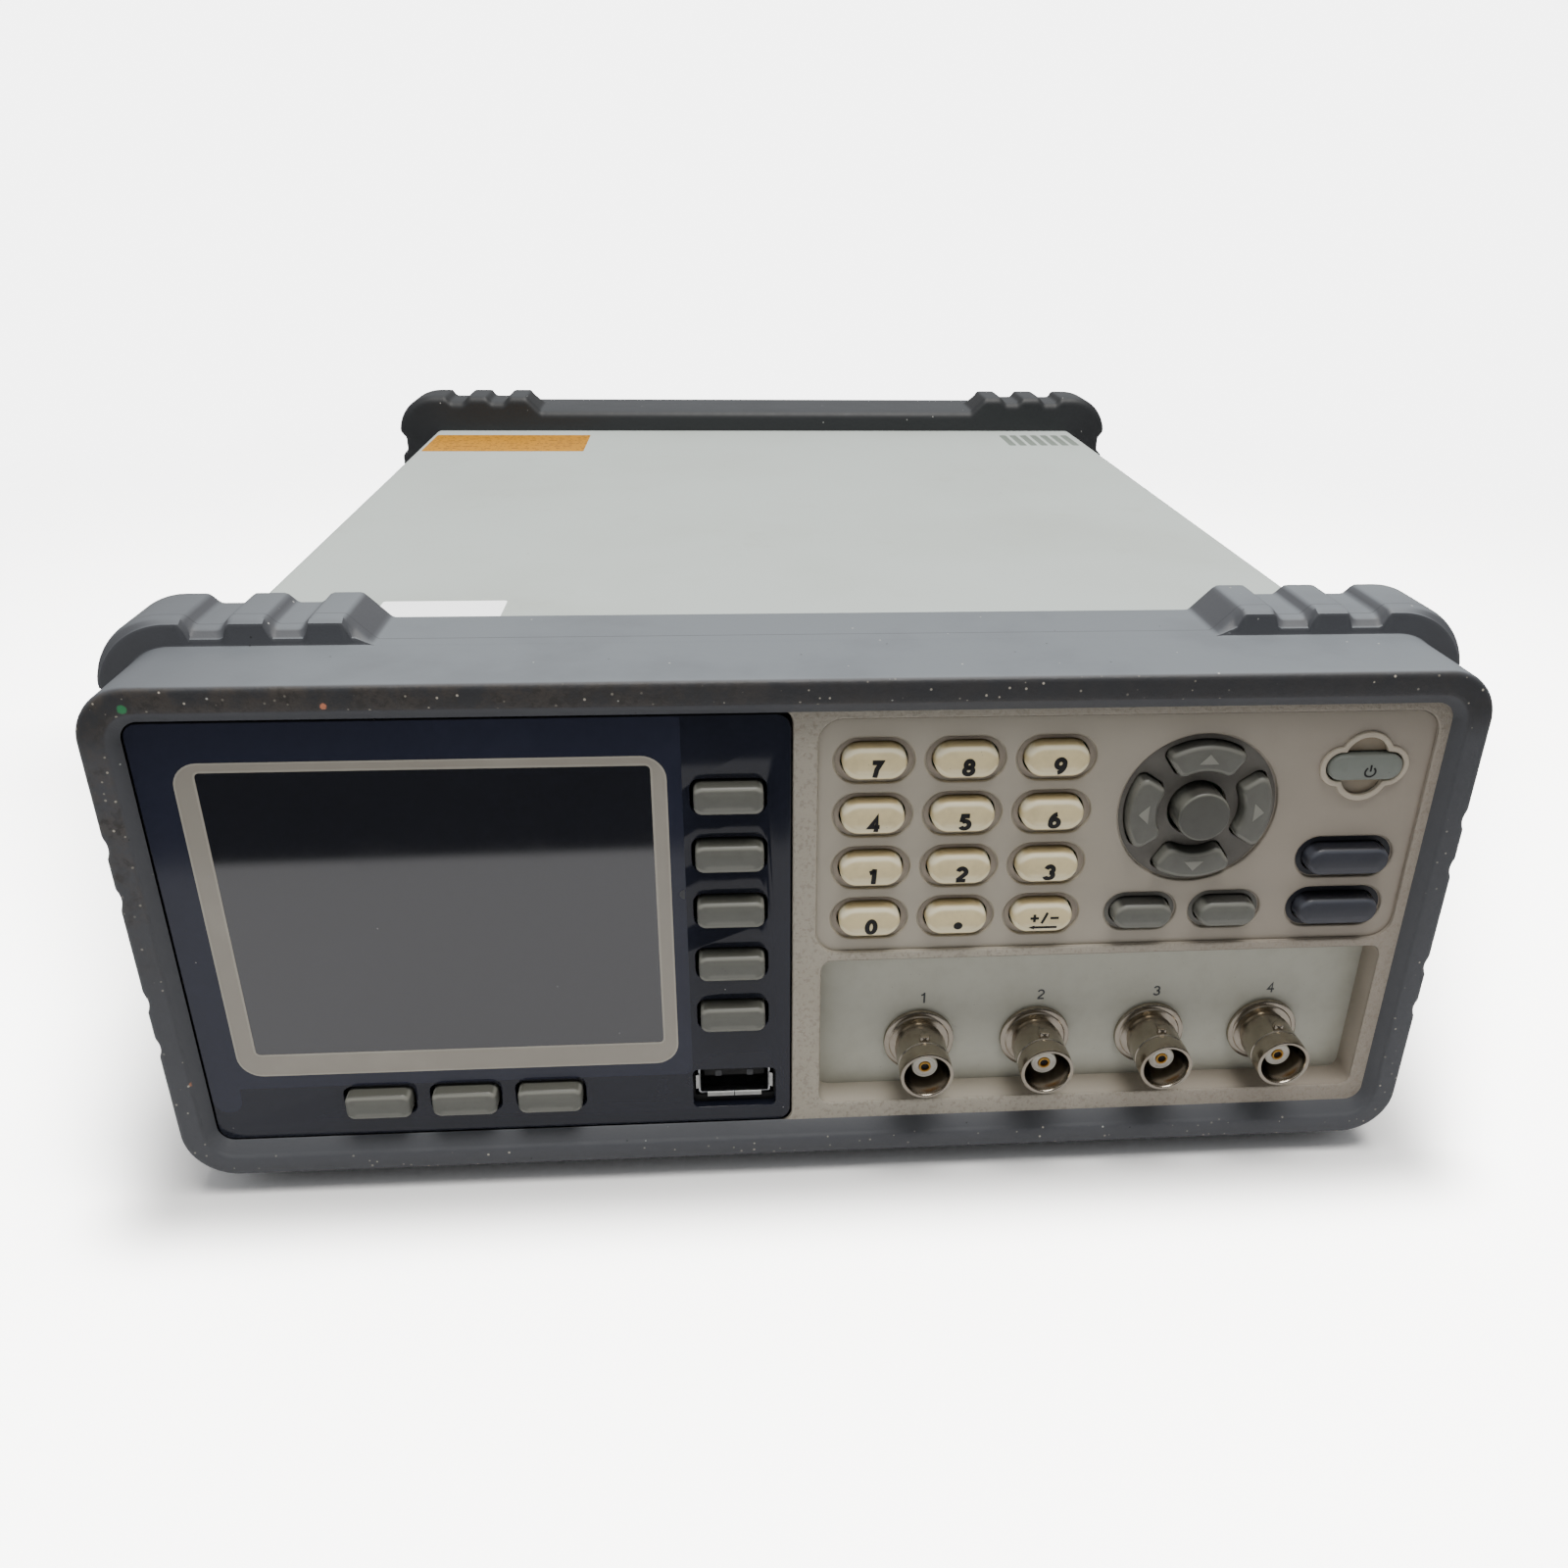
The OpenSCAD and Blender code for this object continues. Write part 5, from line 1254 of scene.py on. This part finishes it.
def socket(i, x, z):
    """One bayonet socket: its turned shell with two lugs, the white insulator,
    the gold contact in it, and its number on the panel."""
    profile = (
        moved(BORE_R, BAY_Y, (0, -0.4)) + moved(BORE_R, MOUTH, (0, 0.35), (0.15, 0.08), (0.3, 0))
        + moved(BARREL_R, MOUTH, (-0.2, 0), (-0.05, 0.08), (0, 0.25))
        + moved(BARREL_R, COLLAR_Y, (0, -0.25), (-0.25, 0), (-0.25, 0.35), (-0.08, 0.5))
        + moved(BARREL_R, SHOULDER_Y, (-0.08, -1.6), (-0.4, -1.35), (-0.4, -0.15), (0.2, 0.02))
        + moved(SHOULDER_R, SHOULDER_Y, (-1.1, 0.02), (-0.9, 0.18), (-0.35, 0.18), (-0.08, 0.3), (0, 0.5))
        + moved(SHOULDER_R, BAY_Y, (0, -0.15), (-0.1, -0.02))
        + moved(SHANK_R, 0, (0, BAY_Y - 0.02), (0, JACK.back))
        + moved(INSULATOR_R + 0.02, 0, (0, JACK.back), (0, BAY_Y - 0.4))
    )
    shell = lathe("socket_shell", x, z, profile)
    piece(f"socket_shell_{i}", shell, "jack_nickel", "socket_shells", smooth=32)
    lug(f"socket_lug_{i}_top", x, z, 1)
    lug(f"socket_lug_{i}_bottom", x, z, -1)
    s = Spot("socket_insulators")
    profile = (moved(0, s.front, (1.12, 0.15), (1.25, 0), (1.7, 0), (1.78, 0.12), (1.86, 0))
               + moved(INSULATOR_R, s.front, (-0.15, 0), (-0.02, 0.15))
               + moved(0, s.back, (INSULATOR_R - 0.02, 0), (1.12, 0)))
    insulator = lathe("insulator", x, z, profile)
    piece(f"socket_insulator_{i}", insulator, "insulator_white", "socket_insulators")
    s = Spot("socket_contacts")
    profile = (moved(0, s.front, (0.7, 5), (0.7, 0.2), (0.82, 0), (0.98, 0), (1.08, 0.12))
               + [(1.08, s.back), (0.0, s.back), (0.0, s.front + 5)])
    piece(f"socket_contact_{i}", lathe("contact", x, z, profile, 32), "contact_gold", "socket_contacts")
    slab(f"contact_hole_{i}", "shadow_black", "socket_contacts", [disc(CONTACT_HOLE, x, z, 24)],
         s.front + 0.45, s.front + 0.6, 0.02, 0, "contact_gold")
    mesh = figure(str(i), NUMBER_H, 0.15, 0.0)
    mesh.transform(Matrix.Translation(at(x + NUMBER_X, BAY_Y - 0.02, z + NUMBER_Z)))
    piece(f"socket_number_{i}", mesh, "print_grey", "front_panel", "panel_beige")


def lug(name, x, z, side):
    """A bayonet lug: a short round pin with a domed end."""
    rings = []
    for r, h in ((0, BARREL_R - 0.6), (0, LUG_TOP - 0.25), (-0.08, LUG_TOP - 0.08), (-0.25, LUG_TOP)):
        rings.append([at(px, py, z + side * h) for px, py in arc(x, LUG_Y, LUG_R + r, 0, 345, 23)])
    piece(name, loft(name, rings), "jack_nickel", "socket_shells", smooth=32)


# The memory-stick port's shell, and the tongue and springs in it
STICK_W, STICK_H, STICK_WALL = 13.2, 5.7, 0.35
TONGUE_W, TONGUE_H, TONGUE_UP = 11, 1.9, 1.55
SPRING_W, SPRING_H, SPRING_UP, SPRING_OUT = 1.2, 1.3, 1.1, 2.9


def memory_port():
    """The front socket: a folded shell with a flared flange on each side,
    black inside, with the two springs of its upper wall showing."""
    x, z, mouth, inside = USB.x, USB.z, USB.front, -2 * STICK_WALL
    sizes = (STICK_W, STICK_H, 0.5, x, z)

    def layer(name, material, loops, front, back, edge=0.05, slot="inlet_black"):
        slab("port_" + name, material, "usb_port", loops, mouth + front, back, edge, 1, slot)

    shell = [box(sizes, 3), box(sizes, 3, inside, 0.3)]
    layer("shell", "port_steel", shell, 0.5, USB.back, slot="port_steel")
    layer("core", "shadow_black", [box(sizes, 3, inside, 0.2)], 5, USB.back - 0.2)
    tongue = rounded(TONGUE_W, TONGUE_H, 0.2, 3, x, z + TONGUE_UP)
    layer("tongue", "shadow_black", [tongue], 1.2, mouth + 5, 0.1)
    for i, dx in enumerate((-SPRING_OUT, SPRING_OUT), 1):
        spring = rounded(SPRING_W, SPRING_H, 0.25, 3, x + dx, z + SPRING_UP)
        layer(f"spring_{i}", "print_grey", [spring], 1.1, mouth + 1.3, 0.08)
    above, beside = (STICK_H - STICK_WALL) / 2, (STICK_W - STICK_WALL) / 2
    for name, dx, half, turn, reach in (
        ("top", 0, 4.75, 0, above), ("left_half", -2.52, 2.45, 180, above),
        ("right_half", 2.52, 2.45, 180, above), ("left", 0, 1.5, 90, beside), ("right", 0, 1.5, 270, beside),
    ):
        flange("port_flange_" + name, x + dx, half, turn, reach)


def flange(name, x, half, turn, reach, thick=0.16):
    """A strip that bends outwards at the mouth, on the side that turn gives."""
    rings = []
    for out, y in ((0.0, 2.0), (0.0, 0.7), (0.1, 0.4), (0.35, 0.2), (0.9, 0.1)):
        corners = ((-half, -thick), (half, -thick), (half, thick), (-half, thick))
        places = turned([(along, reach + out * 0.5 + off) for along, off in corners], turn, x, USB.z)
        rings.append([at(px, USB.front + y - off * 0.4, pz) for (px, pz), (_, off) in zip(places, corners)])
    # the flanges take the brighter steel: painted reflection
    piece(name, loft(name, rings), "flange_bright", "usb_port", smooth=40)


# Labels on the cover: left, right, front and back
REAR_LABEL, FRONT_LABEL = (-103.0, -54.5, 222.5, 250.0), (-80.0, -56.0, 37.0, 64.8)
PATCH_X, PATCH_PITCH, PATCH_BAR, PATCH_Y = 79, 3.4, 2.2, (232.0, 250.0)
LABEL_THICK = 0.08


def case_labels():
    """An orange label with rows of fine marks and a dark patch of bars at the
    back, and a bare white sticker in front."""
    label("rear_label", "sticker_orange", *REAR_LABEL)
    label("front_label", "sticker_white", *FRONT_LABEL)
    for i in range(7):
        x = PATCH_X + i * PATCH_PITCH
        label(f"rear_patch_{i}", "patch_green", x, x + PATCH_BAR, *PATCH_Y)


def label(name, material, x0, x1, y0, y1):
    rings = []
    for dz, inset in ((-0.02, 0), (LABEL_THICK * 0.6, 0), (LABEL_THICK, LABEL_THICK)):
        outline = rounded(x1 - x0 - 2 * inset, y1 - y0 - 2 * inset, 0.5, 3, (x0 + x1) / 2, (y0 + y1) / 2)
        rings.append([at(x, y, CASE.hi[2] + dz) for x, y in outline])
    piece(name, loft(name, rings), material, "top_cover")


# A rear port's flange beyond its shell, its shell's height and taper, the
# shell's wall, and the pitch of its contacts and of their two rows
PORT_FLANGE_OVER, PORT_H, PORT_TAPER, PORT_RIM = 13.9, 8.3, 1.4, 0.6
PORT_PITCH, PORT_ROWS = 2.77, 2.84


def rear_port(node, long_row):
    """The black insert of a D-shaped port at the back, with its two rows of contacts."""
    s = Spot(node)
    half, h = (s.w - PORT_FLANGE_OVER) / 2 - PORT_RIM, PORT_H / 2 - PORT_RIM
    low = half - PORT_TAPER
    corners = [(s.x - half, s.z + h), (s.x - low, s.z - h), (s.x + low, s.z - h), (s.x + half, s.z + h)]
    slab(node + "_insert", "inlet_black", node, [soften(corners, 1.2)], s.back - 0.3, s.back + 0.05, 0.02, 0)
    dots = [disc(1.0, s.x + (i - (n - 1) / 2) * PORT_PITCH, s.z + z, 16)
            for n, z in ((long_row, PORT_ROWS / 2), (long_row - 1, -PORT_ROWS / 2)) for i in range(n)]
    slab(node + "_contacts", "contact_gold", node, dots, s.back + 0.02, s.back + 0.12, 0.02, 0)


for number, place in enumerate(SOCKETS, 1):
    socket(number, *place)
memory_port()
case_labels()
rear_port("serial_port", 5)
rear_port("handler_port", 13)

# The rest keep the solids' own shapes: node, material and edge radius
for row in (
    ("chassis", "chassis_steel", 0.2), ("display_module", "display_black", 0.3),
    ("key_board", "board_green", 0.1), ("key_switches", "contact_gold", 0.05),
    ("main_board", "board_green", 0.15), ("board_standoffs", "spacer_brass", 0.2),
    ("board_screws", "screw_zinc", 0.3), ("shield_can", "shield_tin", 0.3),
    ("supply_board", "board_brown", 0.15), ("supply_transformer", "transformer_tape", 0.5),
    ("supply_capacitors", "capacitor_sleeve", 0.6), ("mains_inlet", "inlet_black", 0.3),
    ("inlet_blades", "plated_steel", 0.3), ("fuse_drawer", "inlet_black", 0.3),
    ("serial_port", "port_steel", 0.3), ("handler_port", "port_steel", 0.3),
    ("port_screws", "spacer_brass", 0.15), ("earth_terminal", "plated_steel", 0.15),
    ("socket_nuts", "jack_nickel", 0.2), ("case_screws", "screw_zinc", 0.3),
):
    dressed(*row)

# ---------------------------------------------------------------------------
# Stage, light and camera
# ---------------------------------------------------------------------------


FLOOR_R = 1.3


def floor():
    bm = bmesh.new()
    bmesh.ops.create_circle(bm, cap_ends=True, radius=FLOOR_R, segments=96)
    mesh = to_mesh("floor", bm)
    mesh.materials.append(floor_paper())
    ob = bpy.data.objects.new("floor", mesh)
    COLLECTION.objects.link(ob)


def area_light(name, place, target, size, power, colour=(1, 1, 1)):
    data = bpy.data.lights.new(name, "AREA")
    data.shape, data.size, data.energy, data.color = "SQUARE", size, power, colour
    ob = bpy.data.objects.new(name, data)
    ob.location = place
    ob.rotation_mode = "QUATERNION"
    ob.rotation_quaternion = (Vector(target) - Vector(place)).to_track_quat("-Z", "Y")
    COLLECTION.objects.link(ob)


def world():
    """An even pale backdrop; what lights the object is bright above and
    behind it and dim in front, as in a room with its lights overhead."""
    studio = bpy.data.worlds.new("studio")
    bpy.context.scene.world = studio
    t = Tree(studio)
    way = t.value("TexCoord", output="Generated")
    depth, height = (t.value("SeparateXYZ", {0: way}, i) for i in (Y, Z))
    power = t.ramp(depth, -0.6, 0.9, 0.10, 0.5) + t.ramp(height, 0.1, 1.0, 0.0, 0.45)
    room = t.value("Background", {1: power})
    backdrop = t.value("Background", {0: (BACKDROP, BACKDROP, BACKDROP, 1)})
    t.node("OutputWorld", {0: t.value("MixShader", {0: t.ray("Camera"), 1: room, 2: backdrop})})


def camera():
    """The photograph's own camera, from a fit to the front's straight edges.
    The real lens bends the picture's sides in by up to 11 pixels, and this
    plain one lies within 2 of it on most of the object and 5 at the corners."""
    yaw, pitch, roll = math.radians(4.686), math.radians(27.196), math.radians(0.861)
    place = (-0.01407, LIP_Y - 0.19304, 0.16817)
    image, focal, centre = 1600.0, 1341.2, (838.1, 867.4)
    data = bpy.data.cameras.new("camera")
    data.sensor_width = 36.0
    data.lens = data.sensor_width * focal / image
    data.shift_x = (image / 2 - centre[0]) / image
    data.shift_y = (centre[1] - image / 2) / image
    data.clip_start, data.clip_end = 0.01, 50
    ob = bpy.data.objects.new("camera", data)
    forward = Vector((math.sin(yaw) * math.cos(pitch), math.cos(yaw) * math.cos(pitch), -math.sin(pitch)))
    right = Vector((math.cos(yaw), -math.sin(yaw), 0))
    up = right.cross(forward)
    right, up = right * math.cos(roll) + up * math.sin(roll), up * math.cos(roll) - right * math.sin(roll)
    ob.matrix_world = Matrix([(right[i], up[i], -forward[i], place[i]) for i in range(3)] + [(0, 0, 0, 1)])
    COLLECTION.objects.link(ob)
    bpy.context.scene.camera = ob


floor()
area_light("overhead", (0.12, -0.22, 1.15), (0.02, -0.08, 0.05), 0.6, 17.5, (1.0, 0.98, 0.945))
area_light("left fill", (-0.9, -0.5, 0.7), (0, -0.1, 0.05), 0.8, 1.3, (0.93, 0.97, 1.0))
world()
camera()
